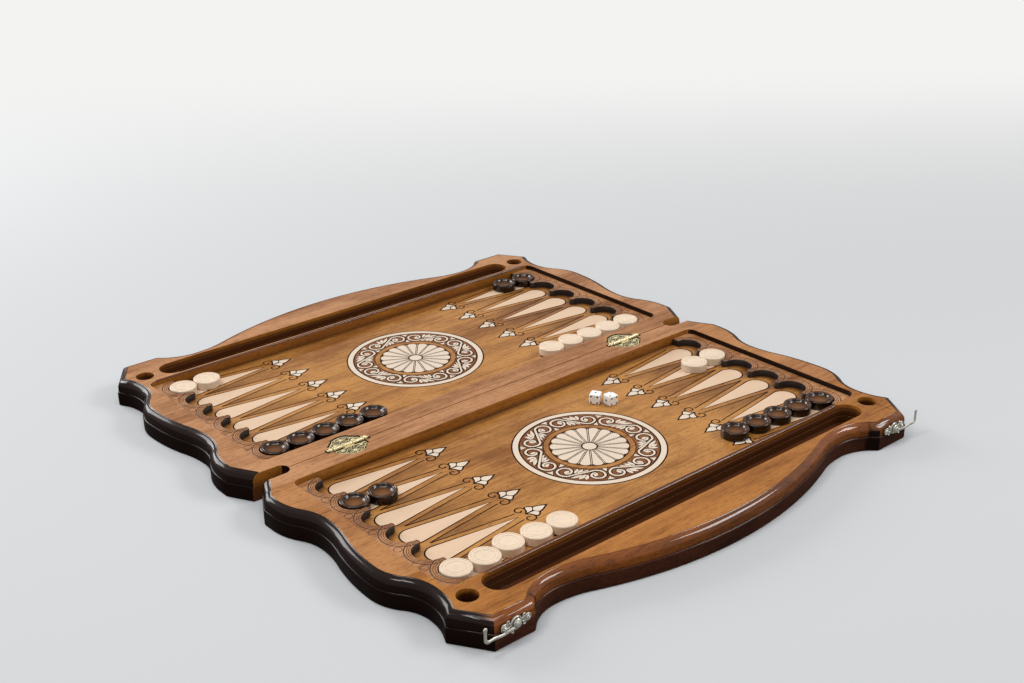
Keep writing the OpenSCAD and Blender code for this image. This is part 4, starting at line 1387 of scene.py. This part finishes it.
def note_burning(obj):
    """Keeps how black a dark checker is at each point as an attribute."""
    layer = obj.data.attributes.new("scorch", "FLOAT", "POINT")
    for vert in obj.data.vertices:
        layer.data[vert.index].value = burning(math.hypot(vert.co.x, vert.co.y))


class BOARD_OT_checkers(Base, bpy.types.Operator):
    """Turned checkers in their rows"""
    bl_idname = "board.checkers"
    bl_label = "Checkers"

    def execute(self, context):
        z, f = context.scene.loose_sizes, context.scene.board_finishes
        size, high = checker_size()
        r, e = size / 2, z.checker_edge
        turns = [math.radians(t) for t in range(0, 91, 15)]
        edge = [(r - e + e * math.sin(t), e - e * math.cos(t)) for t in turns]
        wall = edge + [(x, high - y) for x, y in reversed(edge)]
        tops = {"dark": [(x * MM, high - drop * MM) for x, drop in DISH],
                "light": [(r - a * MM, high - drop * MM) for a, drop in GROOVES]
                + [(x * MM, high - drop * MM) for x, drop in EYE]}
        # Turned walnut, stained: a brown bowl and rim that catch sharp lights, black sides
        dark = wood("stained walnut checker, turned and lacquered", f.dark_checker,
                    darker(f.dark_checker, 0.45), seed=2.6, roughness=0.25, coat=0.5, contrast=0.8, grit=0.0,
                    scorch=f.checker_rim)
        # Turned maple: creamy, with fine rings that show only by their shadow
        light = wood("natural maple checker, turned and lacquered", f.light_checker,
                     darker(f.light_checker, 0.84), seed=5.2, roughness=0.36, coat=0.3, contrast=0.6,
                     grit=0.2)
        for kind, material in (("dark", dark), ("light", light)):
            model = turned(kind + "_model", [(0, 0)] + wall + tops[kind], 72)
            shade(model, 50)
            if kind == "dark":
                note_burning(model)
            for node in (n for n in CHECKERS if f"_{kind}_" in n and n in bpy.data.objects):
                leaf = node.split("_")[0]
                for i, place in enumerate(disc_centres(node)):
                    # Each one lies turned in its own way, so the grain doesn't repeat
                    spin = Matrix.Rotation(0.9 * i + len(node), 4, "Z")
                    piece = copied(model, f"{node[:-1]}_{i + 1}", Matrix.Translation(place) @ spin)
                    finished(piece, leaf + "_leaf", material, [node])
            bpy.data.objects.remove(model)
        return {"FINISHED"}


# Places of the pips on each face, in steps from its middle
PIPS = {1: [(0, 0)], 2: [(-1, -1), (1, 1)], 3: [(-1, -1), (0, 0), (1, 1)],
        4: [(-1, -1), (1, -1), (-1, 1), (1, 1)],
        5: [(-1, -1), (1, -1), (0, 0), (-1, 1), (1, 1)],
        6: [(-1, -1), (-1, 0), (-1, 1), (1, -1), (1, 0), (1, 1)]}


class BOARD_OT_dice(Base, bpy.types.Operator):
    """Two dice with sunk pips"""
    bl_idname = "board.dice"
    bl_label = "Dice"

    def execute(self, context):
        z, f = context.scene.loose_sizes, context.scene.board_finishes
        # Moulded plastic: clean white with small bright lights on the round edges
        white = plain("moulded white die", f.die, roughness=0.25, coat=0.4)
        # Paint in the pips: flat black dots
        black = plain("painted black pip", f.pip, roughness=0.4)
        shown = {"left_die": (1, 4, 5), "right_die": (2, 1, 4)}
        half, apart, sunk = z.die_w / 2, 0.29 * z.die_w, 0.35 * z.pip_r
        for node, (top, left, right) in shown.items():
            low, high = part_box(node)
            obj = box(node + "_body", (-half, -half, -half), (half, half, half))
            round_edges(obj, z.die_round, 5, lambda v, w: True)
            obj.data.materials.append(white)
            pips = []
            for number, axis, degrees in ((top, "X", 0), (7 - top, "X", 180), (left, "Y", -90),
                                          (7 - left, "Y", 90), (right, "X", 90), (7 - right, "X", -90)):
                facing = Matrix.Rotation(math.radians(degrees), 4, axis)
                for u, v in PIPS[number]:
                    pips.append(ball(facing @ Vector((u * apart, v * apart, half + sunk)), z.pip_r, 20))
            for pip in pips:
                pip.data.materials.append(black)
            cut(obj, join("pips", pips))
            shade(obj)
            yaw = Matrix.Rotation(getattr(z, node + "_yaw"), 4, "Z")
            obj.data.transform(Matrix.Translation((low + high) / 2) @ yaw)
            finished(obj, "front_leaf", None, [node])
        return {"FINISHED"}


# Hardware

def aged(name, colour, low, high, shine):
    """Cast metal with dark patina left between two heights over the sheet."""
    # Rubbed bright on the raised lines and nearly black in the hollows, so the relief stands out
    material, tree = started(name)
    level = add(tree, "Attribute", {}, attribute_name="height", attribute_type="GEOMETRY").outputs["Fac"]
    spot = add(tree, "TexCoord", {}).outputs["Object"]
    grime = add(tree, "TexNoise", {"Vector": spot, "Scale": 0.9 / MM, "Detail": 2.0})
    uneven = add(tree, "Math", (grime, 0.5), operation="SUBTRACT")
    level = add(tree, "Math", (uneven, 0.5 * MM, level), operation="MULTIPLY_ADD")
    worn = add(tree, "MapRange", (level, low, high, 0.0, 1.0), **SMOOTH)
    base = add(tree, "Mix", {0: worn, 6: darker(colour, 0.08), 7: colour}, **COLOUR).outputs[2]
    rough = add(tree, "MapRange", (worn, 0.0, 1.0, 0.6, 0.26), **SMOOTH)
    shader = add(tree, "BsdfPrincipled", {"Base Color": base, "Roughness": rough, "Metallic": shine})
    add(tree, "OutputMaterial", {"Surface": shader})
    return material


def note_height(obj):
    """Keeps each point's height over the sheet as an attribute that moves with the piece."""
    layer = obj.data.attributes.new("height", "FLOAT", "POINT")
    for vert in obj.data.vertices:
        layer.data[vert.index].value = vert.co.z


def bulged(a, b, out, steps=8):
    """Line between two places that bulges to its right by a distance."""
    along = Vector(b) - Vector(a)
    across = Vector((along.y, -along.x)).normalized()
    parts = [i / steps for i in range(steps)]
    spots = [Vector(a) + along * t + across * (4 * out * t * (1 - t)) for t in parts]
    return [(q.x, q.y) for q in spots]


def curl(centre, r0, r1, start, end, steps=28):
    """Spiral between two radii and two angles."""
    return [around(centre, r0 + (r1 - r0) * i / steps, math.radians(start + (end - start) * i / steps))
            for i in range(steps + 1)]


def screw_head(r, place):
    """Domed screw head with a slot."""
    rise, sunk, slot = 0.7 * MM, 0.4 * MM, 0.25 * MM
    turns = [math.radians(t) for t in range(0, 91, 15)]
    dome = [(r * math.sin(t), rise * math.cos(t)) for t in turns]
    head = turned("screw", dome + [(r, -sunk), (0, -sunk)], 32)
    head.data.transform(Matrix.Translation((*place, 0)))
    x, y = place
    cut(head, box("driver", (x - r, y - slot, slot), (x + r, y + slot, 2 * MM)))
    return head


# Raised lines and beads of a hinge plate in millimetres: along the pin from the middle, and away from it
HINGE_LINES = (((5.8, 6.6), (4.6, 8.6), (3.4, 9.6), (1.2, 10.0)),
               ((13.0, 9.6), (11.0, 10.6), (9.0, 12.4), (7.4, 12.8)),
               ((2.4, 3.6), (3.6, 5.4), (2.2, 7.2), (0.4, 7.8)))
HINGE_BEADS = ((0, 5.2), (0, 17.0), (15.6, 4.2), (-15.6, 4.2), (6.6, 3.8), (-6.6, 3.8))


class BOARD_OT_hinges(Base, bpy.types.Operator):
    """Embossed butterfly hinges with ball-ended pins and slotted screws"""
    bl_idname = "board.hinges"
    bl_label = "Hinges"

    def execute(self, context):
        h, f = context.scene.hardware_sizes, context.scene.board_finishes
        low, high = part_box("right_hinge_rear_leaf")
        pin_low, pin_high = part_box("right_hinge_pin")
        half, reach, z = (high.x - low.x) / 2, high.y, low.z
        axis = (pin_low + pin_high) / 2
        crest = h.sheet_t + 0.9 * h.relief_h
        brass = aged("cast antique brass, rubbed bright", f.brass, h.sheet_t, crest, shine=0.4)
        flat = self.leaf(h, half, reach)
        third = half / 3
        spans = {"rear": [(-half, -third - h.knuckle_gap / 2), (third + h.knuckle_gap / 2, half)],
                 "front": [(-third + h.knuckle_gap / 2, third - h.knuckle_gap / 2)]}
        lift, web_w, web_t = axis.z - z, 3.6 * MM, 1.4 * MM
        for leaf, side in LEAVES.items():
            parts = [copied(flat, "plate")]
            for x0, x1 in spans[leaf]:
                parts.append(box("web", (x0, 0, 0), (x1, web_w, web_t)))
                parts.append(self.knuckle(h.barrel_r, x0, x1, lift))
            model = join("hinge_leaf", parts)
            shade(model)
            note_height(model)
            heads = join("screws", [screw_head(h.screw_r, spot) for spot in self.screws(h)])
            heads.data.transform(Matrix.Translation((0, 0, h.sheet_t + h.relief_h)))
            shade(heads)
            note_height(heads)
            pairs = []
            for half_name, sign in HALVES.items():
                place = Matrix.Translation((sign * axis.x, 0, z)) @ mirror(sign, side)
                piece = copied(model, f"{half_name}_hinge_{leaf}_plate", place)
                finished(piece, leaf + "_leaf", brass, [f"{half_name}_hinge_{leaf}_leaf"])
                pairs.append(copied(heads, "screw_heads", place))
            finished(join(leaf + "_hinge_screw_heads", pairs), leaf + "_leaf", brass,
                     [leaf + "_hinge_screws"])
            bpy.data.objects.remove(model)
            bpy.data.objects.remove(heads)
        pin = self.pin(h, half, pin_high.x - axis.x)
        for half_name, sign in HALVES.items():
            place = Matrix.Translation((sign * axis.x, 0, axis.z))
            piece = copied(pin, half_name + "_hinge_pin_brass", place)
            note_height(piece)
            finished(piece, "rear_leaf", brass, [half_name + "_hinge_pin"])
        bpy.data.objects.remove(pin)
        bpy.data.objects.remove(flat)
        return {"FINISHED"}

    def screws(self, h):
        """Places of a plate's three screws."""
        x = h.screw_pair_l / 2
        return [(-x, h.screw_pair_w), (x, h.screw_pair_w), (0, h.outer_screw_w)]

    def leaf(self, h, half, reach):
        """Scalloped plate with a raised border, scrolls and leaves."""
        outline = hinge_outline(half, reach)
        sheet = plate("sheet", outline, 0, h.sheet_t)
        lines = []
        for sign in (1, -1):
            eye = (sign * h.screw_pair_l / 2, h.screw_pair_w)
            start = 90 + sign * 90
            lines.append(curl(eye, 4.6 * MM, 2.7 * MM, start, start - sign * 400))
            eye = (sign * 4.9 * MM, 13.6 * MM)
            start = 90 + sign * 160
            lines.append(curl(eye, 2.2 * MM, 0.8 * MM, start, start - sign * 400))
            lines += [[(sign * x * MM, y * MM) for x, y in line] for line in HINGE_LINES]
        relief = ribbon("relief", lines, h.relief_w, h.sheet_t, h.relief_h)
        border = ribbon("border", [inset(outline, 0.75 * MM)], 1.3 * MM, h.sheet_t, h.relief_h, closed=True)
        seat_ring = ring((0, h.outer_screw_w), 2.6 * MM, 32)
        seat = ribbon("seat", [seat_ring], 0.8 * MM, h.sheet_t, h.relief_h, closed=True)
        beads = [ball((x * MM, y * MM, h.sheet_t), 0.75 * MM, 12) for x, y in HINGE_BEADS]
        return join("hinge_plate", [sheet, relief, border, seat] + beads)

    def knuckle(self, r, x0, x1, lift):
        """Barrel piece along X with a bead at each end."""
        n = x1 - x0
        bead = [(r - 0.3 * MM, 0), (r, 0.3 * MM), (r, 1.2 * MM), (r - 0.35 * MM, 1.5 * MM)]
        side = [(0, 0)] + bead + [(x, n - z) for x, z in reversed(bead)] + [(0, n)]
        obj = turned("knuckle", side, 32)
        obj.data.transform(Matrix.Translation((x0, 0, lift)) @ Matrix.Rotation(math.pi / 2, 4, "Y"))
        return obj

    def pin(self, h, half, end):
        """Pin with a ball and a small tip at both ends, along X."""
        r, shaft_r = h.pin_ball_r, 1.2 * MM
        tip = end - half - 2 * r - h.knuckle_gap
        start = half + h.knuckle_gap + r
        tip_turns = [math.radians(t) for t in (30, 60, 90)]
        ball_turns = [math.radians(t) for t in range(20, 161, 14)]
        side = [(0, end)] + [(0.5 * r * math.sin(t), end - tip + tip * math.cos(t)) for t in tip_turns]
        side += [(r * math.sin(t), start + r * math.cos(t)) for t in ball_turns]
        side += [(shaft_r, half + FIT / 2), (shaft_r, 0)]
        obj = turned("pin", side + [(x, -z) for x, z in reversed(side[:-1])], 32)
        obj.data.transform(Matrix.Rotation(math.pi / 2, 4, "Y"))
        shade(obj)
        return obj


# Heads of the pegs and rivets in millimetres: radius, and drop below the top
PEG_HEAD = ((0, 0), (1.6, 0.1), (2.6, 0.5), (2.8, 1.0), (1.8, 1.1))
RIVET_HEAD = ((0, 0), (1.2, 0.1), (2.0, 0.35), (2.2, 0.6), (2.9, 0.6), (3.0, 0.9), (1.5, 1.0))


class BOARD_OT_latches(Base, bpy.types.Operator):
    """Swing-hook latches with scroll plates, and the catch pegs they close on"""
    bl_idname = "board.latches"
    bl_label = "Latches"

    def execute(self, context):
        h, f = context.scene.hardware_sizes, context.scene.board_finishes
        plate_low, plate_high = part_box("right_latch_plate")
        middle = (plate_low + plate_high) / 2
        hook_low, hook_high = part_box("right_latch_hook")
        rivet_high = -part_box("right_latch_rivet")[0].y
        silver = aged("cast antique silver, rubbed bright", f.silver, 0.4 * MM, 1.3 * MM, shine=0.6)
        base_y, upright = -plate_high.y, Matrix.Rotation(math.pi / 2, 4, "X")
        hook = self.hook(h, hook_high.x - middle.x, -hook_high.y - base_y, hook_high.y - hook_low.y)
        models = {"plate": self.scroll_plate(h, plate_high.z - middle.z, plate_high.y - plate_low.y),
                  "hook": hook, "rivet": self.rivet(rivet_high - base_y)}
        for name, model in models.items():
            shade(model)
            note_height(model)
            for half, sign in HALVES.items():
                place = Matrix.Translation((sign * middle.x, -base_y, middle.z)) @ mirror(sign, 1) @ upright
                piece = copied(model, f"{half}_latch_{name}_silver", place)
                body = half + "_hook" if name == "hook" else "front_leaf"
                finished(piece, body, silver, [f"{half}_latch_{name}"])
            bpy.data.objects.remove(model)
        heads = []
        for sign in HALVES.values():
            for way in (-1, 1):
                spot = (sign * middle.x + way * h.latch_screw_x, plate_low.y, middle.z)
                heads.append(screw_head(h.screw_r, (0, 0)))
                heads[-1].data.transform(Matrix.Translation(spot) @ upright)
        screws = join("latch_screw_heads", heads)
        note_height(screws)
        shade(screws)
        finished(screws, "front_leaf", silver, ["latch_screws"])
        face_s = layout(context).flat_s
        for half in HALVES:
            low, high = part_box(half + "_catch_peg")
            peg = self.peg((high.x - low.x) / 2, high.y - face_s)
            note_height(peg)
            shade(peg)
            spot = ((low.x + high.x) / 2, face_s, (low.z + high.z) / 2)
            peg.data.transform(Matrix.Translation(spot) @ upright.inverted())
            peg.name = half + "_catch_peg_silver"
            finished(peg, "rear_leaf", silver, [half + "_catch_peg"])
        return {"FINISHED"}

    def peg(self, r, tall):
        """Catch peg with a foot and a round head."""
        head = [(x * MM, tall - drop * MM) for x, drop in PEG_HEAD]
        foot = [(1.8 * MM, 1.4 * MM), (r - 0.6 * MM, 1.2 * MM), (r, 0.7 * MM), (r, 0), (0, 0)]
        return turned("peg", head + foot, 40)

    def scroll_plate(self, h, tall, thick):
        """Scroll plate in the latch's own plane: pivot disc in the middle, a lug for a screw at each end."""
        lug, neck, ring_r, relief_h = 3.6 * MM, 1.9 * MM, 5.2 * MM, 0.5 * MM
        end = h.latch_screw_x + lug
        upper = []
        for i in range(61):
            u = -end + 2 * end * i / 60
            disc = math.sqrt(max(0, tall * tall - u * u))
            lugs = math.sqrt(max(0, lug * lug - (abs(u) - h.latch_screw_x) ** 2))
            upper.append((u, max(disc, lugs, neck if abs(u) < h.latch_screw_x else 0)))
        outline = [(u, -v) for u, v in upper] + [(u, v) for u, v in reversed(upper[1:-1])]
        sheet = plate("sheet", thinned(outline), 0, thick - relief_h)
        lines = []
        for sign in (1, -1):
            for flip in (1, -1):
                lines.append([(sign * x * MM, flip * y * MM) for x, y in
                              ((5.4, 1.0), (7.4, 2.2), (9.2, 1.4), (10.2, 0.6))])
                lines.append(curl((sign * 8.0 * MM, flip * 3.4 * MM), 1.9 * MM, 0.7 * MM,
                                  -flip * 90, -flip * 90 + sign * flip * 380, 20))
            lines.append(curl((sign * h.latch_screw_x, 0), 2.9 * MM, 2.6 * MM, 0, 350))
        lines.append(arc((0, 0), ring_r, 0, 360, 40))
        relief = ribbon("relief", lines, 1.1 * MM, thick - relief_h, relief_h)
        return join("latch_plate", [sheet, relief])

    def hook(self, h, reach, low, thick):
        """Round bar from the eye to the turned-up tip, with a curl and beads."""
        z, lift = low + thick / 2, 0.9 * thick / 2
        path = [(0, -h.hook_drop)]
        path += [(x * MM, -h.hook_drop + 0.5 * MM * math.sin(x / 3.2)) for x in range(4, 26, 2)]
        path += arc((reach - h.hook_drop - h.hook_knob_r + 0.5 * MM, 0), h.hook_drop, -90, 0, 10)
        tip_x = path[-1][0]
        path += [(tip_x, h.hook_tip_h)]
        bar = ribbon("bar", [path], 2 * h.hook_r, z, lift)
        eye = ribbon("eye", [ring((0, 0), 2.9 * MM, 32)], 2.4 * MM, z, lift, closed=True)
        scroll = ribbon("scroll", [curl((11 * MM, -1.1 * MM), 1.9 * MM, 0.6 * MM, -100, 260),
                                   curl((5.2 * MM, -5.2 * MM), 1.5 * MM, 0.5 * MM, 90, -260)],
                        1.2 * MM, z, 0.7 * thick / 2)
        knob = ball((tip_x, h.hook_tip_h, z), 0.98 * h.hook_knob_r, 20)
        beads = [ball((x, y, z), r, 16) for x, y, r in (
            (reach - h.hook_drop - 2.6 * MM, -h.hook_drop, 1.35 * MM), (18 * MM, -h.hook_drop, 1.3 * MM),
            (tip_x, 1.6 * MM, 1.3 * MM))]
        flatter = min(1, 0.5 * thick / h.hook_knob_r)
        for piece in [knob] + beads:
            edit(piece)
            bpy.ops.transform.resize(value=(1, 1, flatter), center_override=(0, 0, z))
            leave()
        return join("latch_hook", [bar, eye, scroll, knob] + beads)

    def rivet(self, tall):
        """Domed rivet with a ring round its head."""
        head = [(x * MM, tall - drop * MM) for x, drop in RIVET_HEAD]
        return turned("rivet", head + [(1.5 * MM, 0), (0, 0)], 40)


# Stage

# Place in metres, width and length in metres, and power in watts of each lamp
LAMPS = {"top_softbox": ((-0.4, -0.3, 2.1), (1.3, 1.1), 16),
         "left_strobe": ((-1.15, 0.05, 1.9), (0.5, 0.5), 9),
         "back_softbox": ((-0.6, 2.1, 1.05), (1.1, 1.1), 30),
         "right_softbox": ((1.4, -1.15, 1.55), (1.2, 0.6), 21)}

# Camera read from the vanishing points of the rims: millimetres, degrees, and millimetres of lens
CAMERA_PLACE = (-818.2, -992.9, 643.7)
CAMERA_TURN = (66.352473, 0.707858, -40.549094)
CAMERA_LENS = 48.43
AWAY = (0.646, 0.763, 0)  # level direction in which the camera looks


class BOARD_OT_stage(Base, bpy.types.Operator):
    """Pale studio floor, soft light and the camera"""
    bl_idname = "board.stage"
    bl_label = "Stage"

    def execute(self, context):
        scene = context.scene
        bpy.ops.object.select_all(action="DESELECT")
        bpy.ops.mesh.primitive_plane_add(size=16, location=(0, 0, 0))
        floor = context.object
        floor.name = "studio_floor"
        floor.data.materials.append(self.floor_paint(scene.board_finishes))
        self.world(scene)
        for name, (place, size, power) in LAMPS.items():
            bpy.ops.object.light_add(type="AREA", location=place)
            lamp = context.object
            lamp.name = name
            lamp.data.shape = "RECTANGLE"
            lamp.data.size, lamp.data.size_y = size
            lamp.data.energy = power
            lamp.rotation_euler = (-Vector(place)).to_track_quat("-Z", "Y").to_euler()
        bpy.ops.object.camera_add()
        camera = context.object
        camera.name = "photo_camera"
        camera.data.sensor_width = 36
        camera.data.lens = CAMERA_LENS
        camera.data.clip_end = 60
        turned_by = Euler([math.radians(angle) for angle in CAMERA_TURN]).to_matrix().to_4x4()
        camera.matrix_world = Matrix.Translation(Vector(CAMERA_PLACE) * MM) @ turned_by
        scene.camera = camera
        scene.view_settings.view_transform = "Standard"
        return {"FINISHED"}

    def floor_paint(self, f):
        # Matt pale paint without shine; far behind the board the camera sees it pass into a white backdrop
        material, tree = started("matt painted studio floor")
        spot = add(tree, "TexCoord", {}).outputs["Object"]
        ray = add(tree, "LightPath", {}).outputs
        deep = add(tree, "VectorMath", (spot, AWAY), operation="DOT_PRODUCT").outputs["Value"]
        far = add(tree, "MapRange", (deep, 0.2, 1.6, 0.0, 1.0), **SMOOTH)
        seen = add(tree, "Math", (ray["Is Camera Ray"], far), operation="MULTIPLY")
        # Painted reflection: glossy rays see the floor at a few hundredths of its colour, so lacquer and
        # metal mirror a dark floor
        dim = darker(f.floor, 0.07)
        base = add(tree, "Mix", {0: ray["Is Glossy Ray"], 6: f.floor, 7: dim}, **COLOUR).outputs[2]
        paint = add(tree, "BsdfPrincipled", {"Base Color": base, "Roughness": 0.9})
        glow = add(tree, "Emission", {"Color": f.backdrop, "Strength": 1.0})
        add(tree, "OutputMaterial", {"Surface": add(tree, "MixShader", (seen, paint, glow))})
        return material

    def world(self, scene):
        """Soft white surroundings, a little brighter in reflections."""
        scene.world = bpy.data.worlds.new("soft studio")
        scene.world.use_nodes = True
        tree = scene.world.node_tree
        tree.nodes.clear()
        mirrored = add(tree, "LightPath", {}).outputs["Is Glossy Ray"]
        strength = add(tree, "MapRange", (mirrored, 0.0, 1.0, 0.35, 0.45), **SMOOTH)
        glow = add(tree, "Background", {"Color": (1, 1, 1, 1), "Strength": strength})
        add(tree, "OutputWorld", {"Surface": glow})


class BOARD_PT_panel(bpy.types.Panel):
    """Board sizes, finishes and builders"""
    bl_idname = "BOARD_PT_panel"
    bl_label = "Backgammon Board"
    bl_space_type = "VIEW_3D"
    bl_region_type = "UI"
    bl_category = "Board"

    def draw(self, context):
        for operator in OPERATORS:
            self.layout.operator(operator.bl_idname)
        for group in GROUPS:
            settings = getattr(context.scene, group)
            for name in settings.__annotations__:
                self.layout.prop(settings, name)


OPERATORS = (BOARD_OT_base_boards, BOARD_OT_rails, BOARD_OT_ledges, BOARD_OT_points, BOARD_OT_rosettes,
             BOARD_OT_hinges, BOARD_OT_latches, BOARD_OT_checkers, BOARD_OT_dice, BOARD_OT_stage)
CLASSES = tuple(GROUPS.values()) + OPERATORS + (BOARD_PT_panel,)


def register():
    for cls in CLASSES:
        bpy.utils.register_class(cls)
    for name, cls in GROUPS.items():
        setattr(bpy.types.Scene, name, bpy.props.PointerProperty(type=cls))


def unregister():
    for name in GROUPS:
        delattr(bpy.types.Scene, name)
    for cls in reversed(CLASSES):
        bpy.utils.unregister_class(cls)


def main():
    register()
    for operator in OPERATORS:
        group, name = operator.bl_idname.split(".")
        getattr(getattr(bpy.ops, group), name)()


if __name__ == "__main__":
    main()
